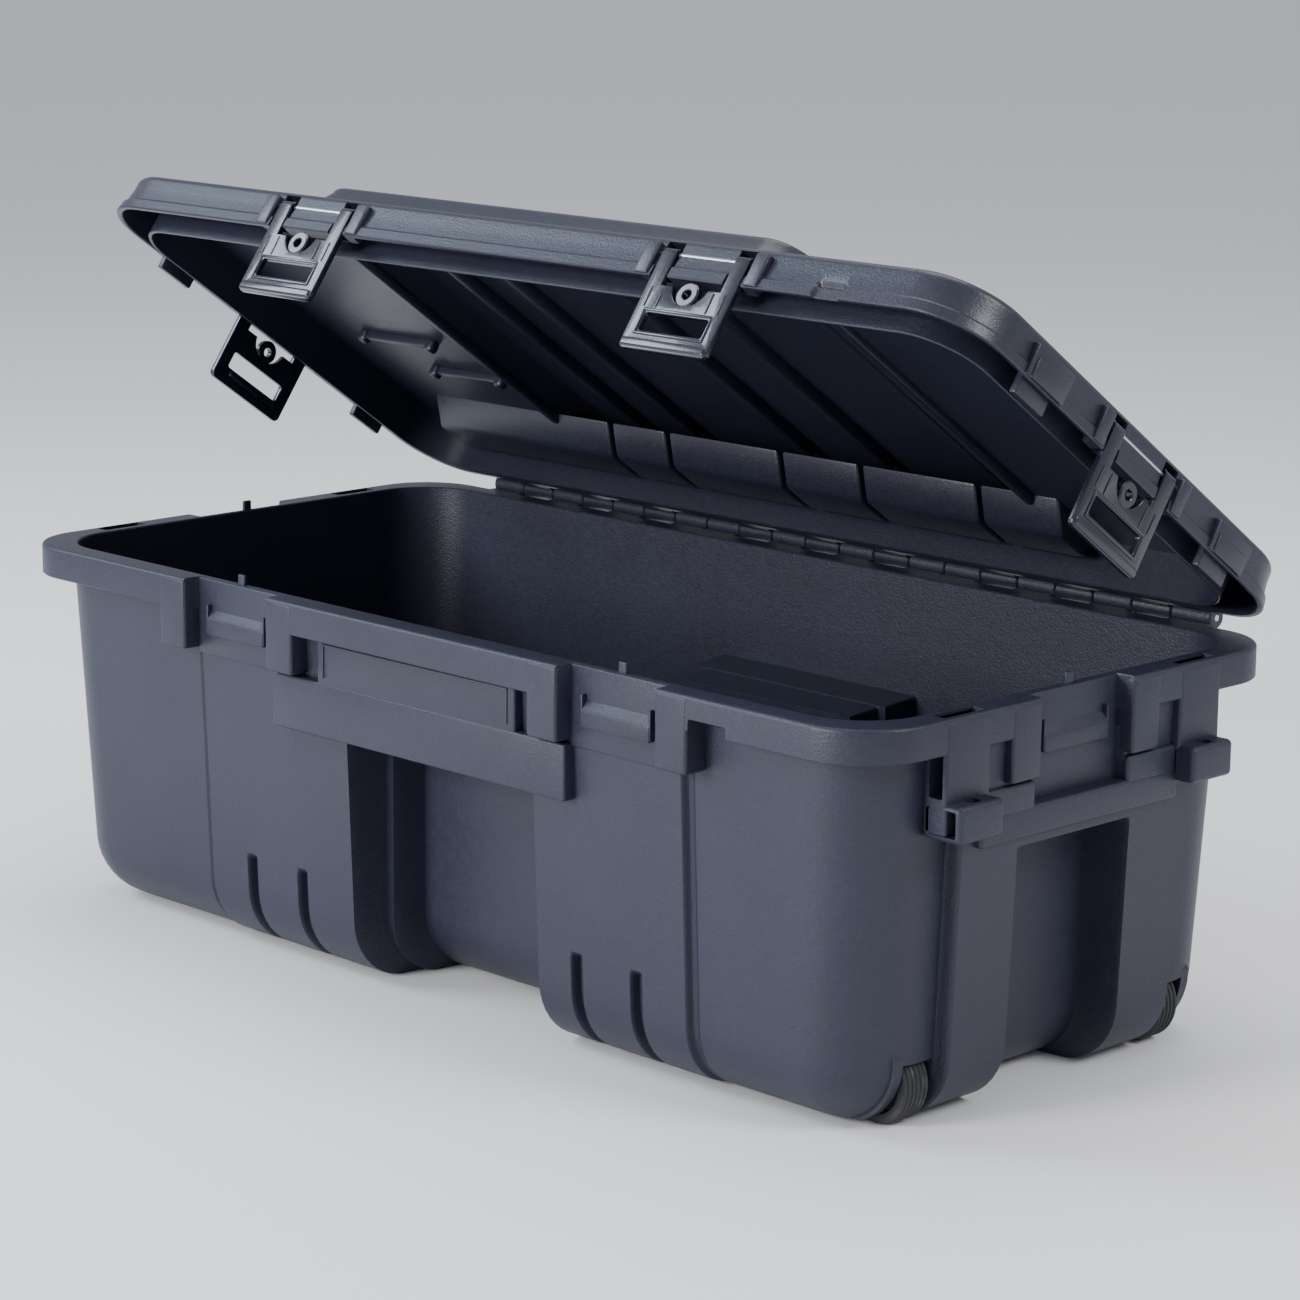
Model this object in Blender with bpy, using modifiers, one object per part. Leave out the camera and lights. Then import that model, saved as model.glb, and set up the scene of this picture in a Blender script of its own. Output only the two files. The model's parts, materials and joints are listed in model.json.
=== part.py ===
"""A wheeled deck storage box: tapered tub, hinged lid, four draw latches, two wheels.

The box lies with its length along X, its front toward -Y and its base on Z = 0.
Everything on the lid is modelled with the lid shut, and the empty on the hinge
axis then turns it open by LID_OPEN_ANGLE. Lengths are metres.
"""

import math

import bmesh
import bpy
from mathutils import Matrix, Vector

# Overall sizes
RIM_LENGTH = 0.950
RIM_WIDTH = 0.458
RIM_TOP = 0.299
RIM_CORNER = 0.055
LID_OPEN_ANGLE = math.radians(35.0)

# Walls and general clearances
WALL = 0.004
FIT_GAP = 0.0003
LID_GAP = 0.0007
PROUD = 0.0006
THROUGH = 0.02
ROOT = 0.02
SLIVER = 0.0002
TUCK = 0.001

# Tub body
RIM_OVERHANG = 0.018
RIM_DEPTH = 0.025
END_DRAFT = 0.012
SIDE_DRAFT = 0.013
BODY_CORNER = 0.055
BASE_ROUND = 0.050

# Raised fields on the long walls, and the recess between them
FIELD_SHIFT = 0.012
WALL_SHIFT = 0.018
PANEL_OUTER = 0.268
PANEL_RISE = 0.004
RECESS_SHIFT = 0.028
SIDE_RECESS_HALF = 0.103
SIDE_RECESS_TOP = RIM_TOP - 0.1015
SIDE_RECESS_DEPTH = 0.056
SIDE_POCKET_STEP = 0.0105
SIDE_POCKET_DEPTH = 0.086
RECESS_FOOT = 0.035
BAND_HALF = 0.164
BAND_TOP = RIM_TOP - 0.059
BAND_INSET = 0.0075
BAND_NECK_HALF = 0.111
GROOVE_PLACES = (0.1553, 0.217)
GROOVE_WIDTH = 0.009
GROOVE_DEPTH = 0.005
GROOVE_TOP = 0.078

# Raised field, band, pocket and rope lugs on the short walls
END_PANEL_HALF = RIM_WIDTH / 2 - 0.107
END_PANEL_RISE = 0.013
END_BAND_HALF = 0.108
END_BAND_BOTTOM = RIM_TOP - 0.099
END_BAND_INSET = 0.003
END_RECESS_HALF = 0.060
END_RECESS_TOP = RIM_TOP - 0.109
END_RECESS_DEPTH = 0.050
LUG_CENTRE = RIM_WIDTH / 2 - 0.102
LUG_WIDTH = 0.046
LUG_BOTTOM = RIM_TOP - 0.086
LUG_TIP_TOP = RIM_TOP - 0.059
LUG_REACH = 0.014
LUG_BORE_RADIUS = 0.006

# Catches and draw latches
LATCH_FRONT_X = 0.213
PLATE_WIDTH = 0.086
CATCH_RECESS_WIDTH = PLATE_WIDTH + 0.014
CATCH_RECESS_DEPTH = 0.0145
CHEEK_WIDTH = 0.031
CHEEK_BOTTOM = RIM_TOP - 0.057
LEDGE_WIDTH = PLATE_WIDTH - 0.016
LEDGE_BOTTOM = RIM_TOP - 0.0435
LEDGE_TOP = RIM_TOP - 0.0215
LEDGE_SLOPE_DROP = 0.011
LATCH_HOME_ANGLE = math.radians(3.0)
HOOK_WIDTH = PLATE_WIDTH - 0.030
HOOK_HEIGHT = 0.005
HOOK_GAP = 0.001
PLATE_THICKNESS = 0.005
PLATE_TOP_DROP = 0.026
PLATE_LENGTH = 0.078
WINDOW_WIDTH = PLATE_WIDTH - 0.024
WINDOW_HEIGHT = 0.0145
WINDOW_DROP = 0.0560
ARM_WIDTH = 0.014
BARREL_RADIUS = 0.0048
EYE_RADIUS = 0.010
EYE_BORE = 0.004
EYE_DROP = 0.0318
EYE_NOTCH_GAP = 0.0085
GRIP_HEIGHT = 0.008
GRIP_RISE = 0.0015
LATCH_PIVOT_RISE = 0.020
LATCH_INSET = 0.0005
LATCH_PIN_RADIUS = 0.002
ARM_SLOT_GAP = 0.0012
ARM_SLOT_RISE = 0.0087
LATCH_BOSS_DEPTH = 0.014
LATCH_BOSS_WIDTH = PLATE_WIDTH + 0.022
LATCH_BOSS_INSET = 0.0004

# Lid
LID_SHOULDER = 0.034
LID_CROWN = 0.0555
LID_SKIRT = 0.005
LID_SHEET = 0.0035
LID_DRAFT = 0.004
CROWN_HALF_LENGTH = 0.258
CROWN_HALF_WIDTH = RIM_WIDTH / 2 - 0.0225
CROWN_DRAFT = 0.005
CROWN_CORNER = 0.030
LID_EDGE_ROUND = 0.006
RIDGE_GAP = 0.003
RIDGE_THICKNESS = 0.003
RIDGE_DROP = 0.006
NUB_LENGTH = 0.036
NUB_THICKNESS = 0.008
NUB_DROP = 0.011
NUB_GAP = 0.003
TAB_WIDTH = 0.008
TAB_HEIGHT = 0.008

# Lid hinges
HINGE_COUNT = 3
KNUCKLES_PER_HINGE = 7
HINGE_BACK = 0.015
HINGE_RISE = 0.003
KNUCKLE_RADIUS = 0.0085
KNUCKLE_LENGTH = 0.0372
KNUCKLE_GAP = 0.0008
HINGE_PIN_RADIUS = 0.0025

# Wheels
WHEEL_RADIUS = 0.030
WHEEL_WIDTH = 0.026
WHEEL_X = RIM_LENGTH / 2 - 0.0575
WHEEL_Y = RIM_WIDTH / 2 - 0.090
WHEEL_CLEARANCE = 0.005
WHEEL_SIDE_GAP = 0.0025
AXLE_RADIUS = 0.004
AXLE_SEAT = 0.0045
AXLE_SLOT_WIDTH = 0.0066
TYRE_ROUND = 0.004
HUB_RADIUS = 0.009
HUB_RECESS = 0.005

# Sizes that follow from those above
LIP = RIM_TOP + LID_GAP
HALF_LENGTH = RIM_LENGTH / 2
HALF_WIDTH = RIM_WIDTH / 2
BODY_HALF_LENGTH = HALF_LENGTH - RIM_OVERHANG
BODY_HALF_WIDTH = HALF_WIDTH - RIM_OVERHANG
OPENING_HALF_LENGTH = BODY_HALF_LENGTH - WALL
OPENING_HALF_WIDTH = BODY_HALF_WIDTH - WALL
HINGE_Y = HALF_WIDTH + HINGE_BACK
HINGE_Z = RIM_TOP + HINGE_RISE
KNUCKLE_PITCH = KNUCKLE_LENGTH + KNUCKLE_GAP
HINGE_LENGTH = KNUCKLE_PITCH * KNUCKLES_PER_HINGE
PIVOT_Z = LIP + LATCH_PIVOT_RISE
PIVOT_INSET = LATCH_INSET + PLATE_THICKNESS

COLOURS = {
    "tub_charcoal": ((0.085, 0.092, 0.118), 0.55, 0.0),
    "lid_charcoal": ((0.075, 0.080, 0.105), 0.50, 0.0),
    "latch_gloss": ((0.020, 0.022, 0.030), 0.20, 0.0),
    "wheel_black": ((0.018, 0.018, 0.020), 0.60, 0.0),
    "steel": ((0.560, 0.570, 0.580), 0.30, 1.0),
}


def clear_scene():
    """Remove every object of the opening scene."""
    for item in list(bpy.data.objects):
        bpy.data.objects.remove(item, do_unlink=True)


def new_collection(name):
    """Make a collection in the scene."""
    made = bpy.data.collections.new(name)
    bpy.context.scene.collection.children.link(made)
    return made


clear_scene()
PARTS = new_collection("deck_storage_box")
CUTTERS = new_collection("cutters")


def material(name):
    """The Principled material of this name, made once."""
    if name in bpy.data.materials:
        return bpy.data.materials[name]
    colour, roughness, metallic = COLOURS[name]
    made = bpy.data.materials.new(name)
    made.use_nodes = True
    shader = made.node_tree.nodes["Principled BSDF"]
    shader.inputs["Base Color"].default_value = (*colour, 1.0)
    shader.inputs["Roughness"].default_value = roughness
    shader.inputs["Metallic"].default_value = metallic
    made.diffuse_color = (*colour, 1.0)
    return made


def object_from(name, bm, collection=CUTTERS, finish=None):
    """Turn a bmesh into an object. One without a finish is a helper and stays out of the render."""
    bmesh.ops.recalc_face_normals(bm, faces=bm.faces)
    mesh = bpy.data.meshes.new(name)
    bm.to_mesh(mesh)
    bm.free()
    made = bpy.data.objects.new(name, mesh)
    collection.objects.link(made)
    if finish:
        mesh.materials.append(material(finish))
    else:
        made.hide_render = True
        made.display_type = "WIRE"
    return made


def box_mesh(low, high):
    """A bmesh box between two opposite corners."""
    bm = bmesh.new()
    size = [high[axis] - low[axis] for axis in range(3)]
    middle = [(high[axis] + low[axis]) / 2 for axis in range(3)]
    bmesh.ops.create_cube(bm, size=1.0)
    bmesh.ops.scale(bm, vec=size, verts=bm.verts)
    bmesh.ops.translate(bm, vec=middle, verts=bm.verts)
    return bm


def box(name, low, high, place=None):
    """A helper box, moved by the matrix place."""
    bm = box_mesh(low, high)
    if place:
        bmesh.ops.transform(bm, matrix=place, verts=bm.verts)
    return object_from(name, bm)


def cylinder(name, radius, start, end, place=None, segments=24, collection=CUTTERS, finish=None):
    """A round bar between two points."""
    bm = bmesh.new()
    start, end = Vector(start), Vector(end)
    run = end - start
    bmesh.ops.create_cone(
        bm, cap_ends=True, segments=segments, radius1=radius, radius2=radius, depth=run.length
    )
    turn = run.to_track_quat("Z", "Y").to_matrix().to_4x4()
    bmesh.ops.transform(bm, matrix=Matrix.Translation((start + end) / 2) @ turn, verts=bm.verts)
    if place:
        bmesh.ops.transform(bm, matrix=place, verts=bm.verts)
    return object_from(name, bm, collection, finish)


def bevel_edges(bm, edges, width, segments):
    """Round these edges of a bmesh."""
    bmesh.ops.bevel(
        bm, geom=edges, offset=width, segments=segments, profile=0.5, affect="EDGES",
        clamp_overlap=True,
    )


def tapered_block(low_half, high_half, bottom, top, corner, corner_steps=6,
                  base_round=0.0, top_round=0.0, edge_steps=4):
    """A bmesh block whose rectangle grows from low_half to high_half, with rounded corners.

    low_half and high_half are the half sizes along X and Y at the bottom and at the top.
    """
    bm = box_mesh((-1, -1, bottom), (1, 1, top))
    middle = (bottom + top) / 2
    for vert in bm.verts:
        half = high_half if vert.co.z > middle else low_half
        vert.co.x = math.copysign(half[0], vert.co.x)
        vert.co.y = math.copysign(half[1], vert.co.y)
    upright = [edge for edge in bm.edges if abs(edge.verts[0].co.z - edge.verts[1].co.z) > 1e-6]
    if corner:
        bevel_edges(bm, upright, corner, corner_steps)
    for level, width in ((bottom, base_round), (top, top_round)):
        if width:
            loop = [edge for edge in bm.edges if all(abs(v.co.z - level) < 1e-6 for v in edge.verts)]
            bevel_edges(bm, loop, width, edge_steps)
    return bm


def drafted_half(height, grow=0.0):
    """Half length and half width of the tub's outer wall at a height, moved out by grow."""
    up = height / RIM_TOP
    return (
        BODY_HALF_LENGTH - END_DRAFT * (1 - up) + grow,
        BODY_HALF_WIDTH - SIDE_DRAFT * (1 - up) + grow,
    )


def combine(target, tools, operation, name):
    """Add one exact Boolean that takes a whole group of helpers."""
    group = bpy.data.collections.new(f"{target.name}_{name}")
    CUTTERS.children.link(group)
    for tool in tools:
        group.objects.link(tool)
    modifier = target.modifiers.new(name, "BOOLEAN")
    modifier.operation = operation
    modifier.solver = "EXACT"
    modifier.operand_type = "COLLECTION"
    modifier.collection = group
    return modifier


def catch_places():
    """Name and placing matrix of each catch. Locally X runs along the wall and -Y points outward."""
    quarter = math.pi / 2
    return {
        "front_left": Matrix.Translation((FIELD_SHIFT - LATCH_FRONT_X, -HALF_WIDTH, 0)),
        "front_right": Matrix.Translation((FIELD_SHIFT + LATCH_FRONT_X, -HALF_WIDTH, 0)),
        "left_end": Matrix.Translation((-HALF_LENGTH, 0, 0)) @ Matrix.Rotation(-quarter, 4, "Z"),
        "right_end": Matrix.Translation((HALF_LENGTH, 0, 0)) @ Matrix.Rotation(quarter, 4, "Z"),
    }


def end_places():
    """Placing matrix of each short wall, with -Y pointing outward."""
    places = catch_places()
    return {"left": places["left_end"], "right": places["right_end"]}


def side_places(shift=FIELD_SHIFT):
    """Placing matrix of the front and the rear wall, with -Y pointing outward, shift along X."""
    return {
        "front": Matrix.Translation((shift, -HALF_WIDTH, 0)),
        "rear": Matrix.Translation((shift, HALF_WIDTH, 0)) @ Matrix.Rotation(math.pi, 4, "Z"),
    }


def tub_outer():
    """The tapered body of the tub, still solid."""
    bm = tapered_block(
        drafted_half(0), drafted_half(RIM_TOP), 0, RIM_TOP, BODY_CORNER, base_round=BASE_ROUND
    )
    return object_from("tub", bm, PARTS, "tub_charcoal")


def tub_rim():
    """The solid slab of the rim, and the hollow under it between skirt and body."""
    slab = object_from("rim_slab", tapered_block(
        (HALF_LENGTH, HALF_WIDTH), (HALF_LENGTH, HALF_WIDTH), RIM_TOP - RIM_DEPTH, RIM_TOP, RIM_CORNER
    ))
    inside = (HALF_LENGTH - WALL, HALF_WIDTH - WALL)
    hollow = object_from("rim_hollow", tapered_block(
        inside, inside, RIM_TOP - RIM_DEPTH - THROUGH, RIM_TOP - WALL, RIM_CORNER - WALL
    ))
    kept = object_from("rim_kept_body", tapered_block(
        drafted_half(0, -PROUD), drafted_half(RIM_TOP, -PROUD), 0, RIM_TOP + THROUGH, BODY_CORNER
    ))
    combine(hollow, [kept], "DIFFERENCE", "kept_body")
    return slab, hollow


def field_block(half_run, rise, along_x):
    """A raised field that runs under the base and up both walls that face each other.

    half_run is half its width along the walls, and along_x is true on the long walls.
    """
    low, high = drafted_half(0, rise), drafted_half(RIM_TOP - WALL, rise)
    if along_x:
        low_half, high_half = (half_run, low[1]), (half_run, high[1])
    else:
        low_half, high_half = (low[0], half_run), (high[0], half_run)
    bm = tapered_block(low_half, high_half, 0, RIM_TOP - WALL, 0)
    axis = 0 if along_x else 1
    edges = [
        edge for edge in bm.edges
        if all(vert.co.z < 1e-6 for vert in edge.verts)
        and abs(edge.verts[0].co[axis] - edge.verts[1].co[axis]) > 1e-6
    ]
    bevel_edges(bm, edges, BASE_ROUND + rise, 5)
    return bm


def wall_fields():
    """The raised fields: two across the long walls and one across the ends."""
    made = []
    for side in (-1, 1):
        near = RECESS_SHIFT + side * (SIDE_RECESS_HALF - PROUD)
        far = WALL_SHIFT + side * PANEL_OUTER
        half_run = abs(far - near) / 2
        middle = (far + near) / 2
        bm = field_block(half_run, PANEL_RISE, True)
        bmesh.ops.translate(bm, vec=(middle, 0, 0), verts=bm.verts)
        made.append(object_from("side_field", bm))
    bm = field_block(END_PANEL_HALF, END_PANEL_RISE, False)
    made.append(object_from("end_field", bm))
    return made


def bands():
    """Thick bands under the rim: one on each long wall and one on each end."""
    made = []
    for name, place in side_places().items():
        made.append(box(
            f"band_{name}",
            (-BAND_HALF, BAND_INSET, SIDE_RECESS_TOP), (BAND_HALF, RIM_OVERHANG + ROOT, BAND_TOP),
            place,
        ))
        made.append(box(
            f"band_neck_{name}",
            (-BAND_NECK_HALF, BAND_INSET + PROUD, BAND_TOP - PROUD),
            (BAND_NECK_HALF, RIM_OVERHANG + ROOT, RIM_TOP - WALL + PROUD),
            place,
        ))
    for name, place in end_places().items():
        made.append(box(
            f"end_band_{name}",
            (-END_BAND_HALF, END_BAND_INSET, END_BAND_BOTTOM),
            (END_BAND_HALF, RIM_OVERHANG + ROOT, BAND_TOP),
            place,
        ))
    return made


def catch_blocks():
    """The two cheeks beside each catch, as deep blocks of the rim skirt."""
    made = []
    inner = CATCH_RECESS_WIDTH / 2
    for name, place in catch_places().items():
        for side in (-1, 1):
            near, far = sorted((side * inner, side * (inner + CHEEK_WIDTH)))
            made.append(box(
                f"cheek_{name}", (near, -PROUD, CHEEK_BOTTOM),
                (far, RIM_OVERHANG + ROOT, RIM_TOP - WALL + PROUD), place,
            ))
        made.append(box(
            f"catch_back_{name}", (-inner - PROUD, CATCH_RECESS_DEPTH, CHEEK_BOTTOM - WALL),
            (inner + PROUD, RIM_OVERHANG + ROOT + PROUD, RIM_TOP - WALL + PROUD), place,
        ))
    return made


def catch_cutters():
    """The recess that each latch plate folds into."""
    half = CATCH_RECESS_WIDTH / 2
    return [
        box(f"catch_recess_{name}", (-half, -THROUGH, CHEEK_BOTTOM - THROUGH),
            (half, CATCH_RECESS_DEPTH, RIM_TOP + THROUGH), place)
        for name, place in catch_places().items()
    ]


def ledge_face():
    """How deep behind the skirt's face the ledge starts, just clear of a latch pressed home."""
    return PIVOT_INSET + math.sin(LATCH_HOME_ANGLE) * (PIVOT_Z - LEDGE_BOTTOM) + 2 * FIT_GAP


def catch_ledges():
    """In each recess, the ledge with a sloped top, and over it the tab on the rim's inner edge."""
    made = []
    for name, place in catch_places().items():
        bm = box_mesh(
            (-LEDGE_WIDTH / 2, ledge_face(), LEDGE_BOTTOM),
            (LEDGE_WIDTH / 2, CATCH_RECESS_DEPTH + PROUD, LEDGE_TOP),
        )
        for vert in bm.verts:
            if vert.co.z > LEDGE_BOTTOM + PROUD and vert.co.y < CATCH_RECESS_DEPTH:
                vert.co.z -= LEDGE_SLOPE_DROP
        bmesh.ops.transform(bm, matrix=place, verts=bm.verts)
        made.append(object_from(f"ledge_{name}", bm))
        made.append(box(
            f"rim_tab_{name}",
            (-TAB_WIDTH / 2, RIM_OVERHANG - TUCK, RIM_TOP - PROUD),
            (TAB_WIDTH / 2, RIM_OVERHANG + WALL - RIDGE_GAP / 2, RIM_TOP + TAB_HEIGHT), place,
        ))
    return made


def lug_spots():
    """Name, wall placing and position along the wall of each rope lug."""
    return [
        (f"{name}_{word}", place, side * LUG_CENTRE)
        for name, place in end_places().items()
        for side, word in ((-1, "a"), (1, "b"))
    ]


def rope_lugs():
    """A column under the rim with a bored tip, four in all."""
    made = []
    for name, place, centre in lug_spots():
        low, high = centre - LUG_WIDTH / 2, centre + LUG_WIDTH / 2
        made.append(box(f"lug_column_{name}", (low, -PROUD, LUG_BOTTOM + PROUD),
                        (high, RIM_OVERHANG + ROOT, RIM_TOP - WALL + PROUD), place))
        made.append(box(f"lug_tip_{name}", (low, -LUG_REACH, LUG_BOTTOM),
                        (high, RIM_OVERHANG + ROOT, LUG_TIP_TOP), place))
    return made


def lug_cutters():
    """The rope bore of each lug, and the slot in the rim that takes a nub of the lid."""
    made = []
    for name, place, centre in lug_spots():
        made.append(cylinder(
            f"lug_bore_{name}", LUG_BORE_RADIUS, (centre, -LUG_REACH / 4, LUG_BOTTOM - THROUGH),
            (centre, -LUG_REACH / 4, LUG_TIP_TOP + PROUD), place,
        ))
        half = NUB_LENGTH / 2 + NUB_GAP
        made.append(box(
            f"nub_slot_{name}",
            (centre - half, LID_SKIRT - TUCK, RIM_TOP - NUB_DROP - NUB_GAP),
            (centre + half, LID_SKIRT + NUB_THICKNESS + NUB_GAP, RIM_TOP + THROUGH), place,
        ))
    return made


def recess_blocks(name, place, half, depth, top, grow):
    """One wall recess as cutters: its block, and the wedge that slopes its foot in under the base."""
    block = box_mesh((-half - grow, grow - THROUGH, -THROUGH), (half + grow, depth + grow, top + grow))
    slope_shift = depth + grow * math.sqrt(2)
    wedge = box_mesh(
        (-half - grow, depth - PROUD, -THROUGH),
        (half + grow, slope_shift + RECESS_FOOT + THROUGH, RECESS_FOOT),
    )
    for vert in wedge.verts:
        if vert.co.z > 0 and vert.co.y > depth:
            vert.co.y = slope_shift
    made = []
    for word, bm in (("block", block), ("foot", wedge)):
        bmesh.ops.transform(bm, matrix=place, verts=bm.verts)
        made.append(object_from(f"recess_{word}_{name}", bm))
    return made


def recesses(grow):
    """The four wall recesses. With grow they are the sheet round each, left standing in the tub."""
    made = []
    for name, place in side_places(RECESS_SHIFT).items():
        made.append(box(
            f"side_step_{name}", (-SIDE_RECESS_HALF - grow, grow - THROUGH, -THROUGH),
            (SIDE_RECESS_HALF + grow, SIDE_RECESS_DEPTH + grow, SIDE_RECESS_TOP + grow), place,
        ))
        made += recess_blocks(
            f"side_{name}", place, SIDE_RECESS_HALF - SIDE_POCKET_STEP, SIDE_POCKET_DEPTH,
            SIDE_RECESS_TOP - SIDE_POCKET_STEP / 2, grow,
        )
    for name, place in end_places().items():
        made += recess_blocks(
            f"end_{name}", place, END_RECESS_HALF, END_RECESS_DEPTH, END_RECESS_TOP, grow
        )
    return made


def groove_cutters():
    """Two short upright grooves low on each raised field, front and rear."""
    made = []
    wall = RIM_OVERHANG + SIDE_DRAFT - PANEL_RISE
    for name, place in side_places(WALL_SHIFT).items():
        for x in [side * spot for side in (-1, 1) for spot in GROOVE_PLACES]:
            made.append(box(
                f"groove_{name}", (x - GROOVE_WIDTH / 2, -THROUGH, -THROUGH),
                (x + GROOVE_WIDTH / 2, wall + GROOVE_DEPTH, GROOVE_TOP), place,
            ))
    return made


def wheel_wells(grow):
    """An arched well round each wheel. With grow it is the housing inside the tub."""
    made = []
    radius = WHEEL_RADIUS + WHEEL_CLEARANCE + grow
    half = WHEEL_WIDTH / 2 + WHEEL_SIDE_GAP + grow
    for side in (-1, 1):
        low, high = side * WHEEL_Y - half, side * WHEEL_Y + half
        made.append(cylinder(
            "well_arch", radius, (WHEEL_X, low, WHEEL_RADIUS), (WHEEL_X, high, WHEEL_RADIUS),
            segments=32,
        ))
        made.append(box(
            "well_mouth", (WHEEL_X - radius + SLIVER, low + SLIVER, -THROUGH),
            (WHEEL_X + radius + THROUGH, high - SLIVER, WHEEL_RADIUS),
        ))
    return made


def axle_span(side):
    """Where a wheel's axle starts and ends along Y."""
    half = WHEEL_WIDTH / 2 + WHEEL_SIDE_GAP + AXLE_SEAT
    return side * WHEEL_Y - half, side * WHEEL_Y + half


def axle_cutters():
    """The seat of each axle and the snap-in slot under it."""
    made = []
    for side in (-1, 1):
        low, high = axle_span(side)
        made.append(cylinder(
            "axle_seat", AXLE_RADIUS + FIT_GAP, (WHEEL_X, low - FIT_GAP, WHEEL_RADIUS),
            (WHEEL_X, high + FIT_GAP, WHEEL_RADIUS),
        ))
        made.append(box(
            "axle_slot", (WHEEL_X - AXLE_SLOT_WIDTH / 2, low - FIT_GAP + SLIVER, -THROUGH),
            (WHEEL_X + AXLE_SLOT_WIDTH / 2, high + FIT_GAP - SLIVER, WHEEL_RADIUS),
        ))
    return made


def tub_cavity():
    """The inside of the tub, less the sheet round the recesses and wheel wells."""
    low, high = drafted_half(WALL, -WALL), drafted_half(RIM_TOP + THROUGH, -WALL)
    cavity = object_from("tub_cavity", tapered_block(
        low, high, WALL, RIM_TOP + THROUGH, BODY_CORNER - WALL, base_round=BASE_ROUND - WALL
    ))
    seat_wall = AXLE_SEAT + WALL
    combine(cavity, recesses(WALL) + wheel_wells(seat_wall), "DIFFERENCE", "inner_walls")
    return cavity


def hinge_middles():
    """Where the middle of each hinge lies along X."""
    return [(turn - (HINGE_COUNT - 1) / 2) * HINGE_LENGTH for turn in range(HINGE_COUNT)]


def knuckle_spots(first):
    """Middles of every second knuckle of each hinge: first is 0 for the tub's and 1 for the lid's."""
    return [
        middle + (turn - (KNUCKLES_PER_HINGE - 1) / 2) * KNUCKLE_PITCH
        for middle in hinge_middles()
        for turn in range(first, KNUCKLES_PER_HINGE, 2)
    ]


def hinge_knuckles(name, spots, web_low, web_high, web_start):
    """Knuckles round the hinge axis, each with a web to its wall."""
    made = []
    half = KNUCKLE_LENGTH / 2
    for x in spots:
        made.append(cylinder(
            f"{name}_knuckle", KNUCKLE_RADIUS, (x - half, HINGE_Y, HINGE_Z),
            (x + half, HINGE_Y, HINGE_Z), segments=20,
        ))
        made.append(box(
            f"{name}_web", (x - half + FIT_GAP, web_start, web_low),
            (x + half - FIT_GAP, HINGE_Y - TUCK, web_high),
        ))
    return made


def hinge_bores(name):
    """The bore along each hinge."""
    reach = HINGE_LENGTH / 2 - FIT_GAP
    return [
        cylinder(f"{name}_bore", HINGE_PIN_RADIUS + FIT_GAP, (x - reach, HINGE_Y, HINGE_Z),
                 (x + reach, HINGE_Y, HINGE_Z), segments=16)
        for x in hinge_middles()
    ]


def make_tub():
    """The one-piece moulded tub."""
    tub = tub_outer()
    slab, hollow = tub_rim()
    combine(tub, [slab], "UNION", "rim")
    combine(tub, [hollow], "DIFFERENCE", "rim_hollow")
    knuckles = hinge_knuckles(
        "tub", knuckle_spots(0), RIM_TOP - RIM_DEPTH + WALL, RIM_TOP - PROUD, HALF_WIDTH - WALL / 2
    )
    combine(tub, wall_fields() + bands() + catch_blocks() + rope_lugs() + knuckles, "UNION", "raised")
    cutters = [tub_cavity()] + recesses(0) + catch_cutters() + lug_cutters() + groove_cutters()
    cutters += wheel_wells(0) + axle_cutters() + hinge_bores("tub")
    combine(tub, cutters, "DIFFERENCE", "cut")
    combine(tub, catch_ledges(), "UNION", "ledges")
    return tub


def lid_ridge():
    """The ring inside the lid that drops into the opening of the tub."""
    outer = (OPENING_HALF_LENGTH - RIDGE_GAP, OPENING_HALF_WIDTH - RIDGE_GAP)
    inner = (outer[0] - RIDGE_THICKNESS, outer[1] - RIDGE_THICKNESS)
    corner = BODY_CORNER - WALL - RIDGE_GAP
    low, high = RIM_TOP - RIDGE_DROP, LIP + LID_SHOULDER - LID_SHEET / 2
    ring = object_from("ridge", tapered_block(outer, outer, low, high, corner))
    hole = object_from("ridge_hole", tapered_block(
        inner, inner, low - THROUGH, high + THROUGH, corner - RIDGE_THICKNESS
    ))
    combine(ring, [hole], "DIFFERENCE", "hole")
    return ring


def lid_latch_bosses():
    """The thick block behind the skirt that carries each latch."""
    return [
        box(f"latch_boss_{name}", (-LATCH_BOSS_WIDTH / 2, LATCH_BOSS_INSET, LIP + PROUD),
            (LATCH_BOSS_WIDTH / 2, LATCH_BOSS_DEPTH, LIP + LID_SHOULDER - LID_SHEET / 2), place)
        for name, place in catch_places().items()
    ]


def lid_latch_cutters():
    """For each latch, the slots of its two arms and the bore of its pin."""
    made = []
    centre = (PLATE_WIDTH - ARM_WIDTH) / 2
    half = ARM_WIDTH / 2 + ARM_SLOT_GAP
    for name, place in catch_places().items():
        for side in (-1, 1):
            made.append(box(
                f"arm_slot_{name}", (side * centre - half, -THROUGH, LIP - THROUGH),
                (side * centre + half, PIVOT_INSET + BARREL_RADIUS + ARM_SLOT_GAP,
                 PIVOT_Z + ARM_SLOT_RISE), place,
            ))
        reach = latch_pin_reach() + FIT_GAP
        made.append(cylinder(
            f"latch_bore_{name}", LATCH_PIN_RADIUS + FIT_GAP, (-reach, PIVOT_INSET, PIVOT_Z),
            (reach, PIVOT_INSET, PIVOT_Z), place, segments=16,
        ))
    return made


def latch_pin_reach():
    """Half the length of a latch pin."""
    return (PLATE_WIDTH + LATCH_BOSS_WIDTH) / 4


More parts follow.
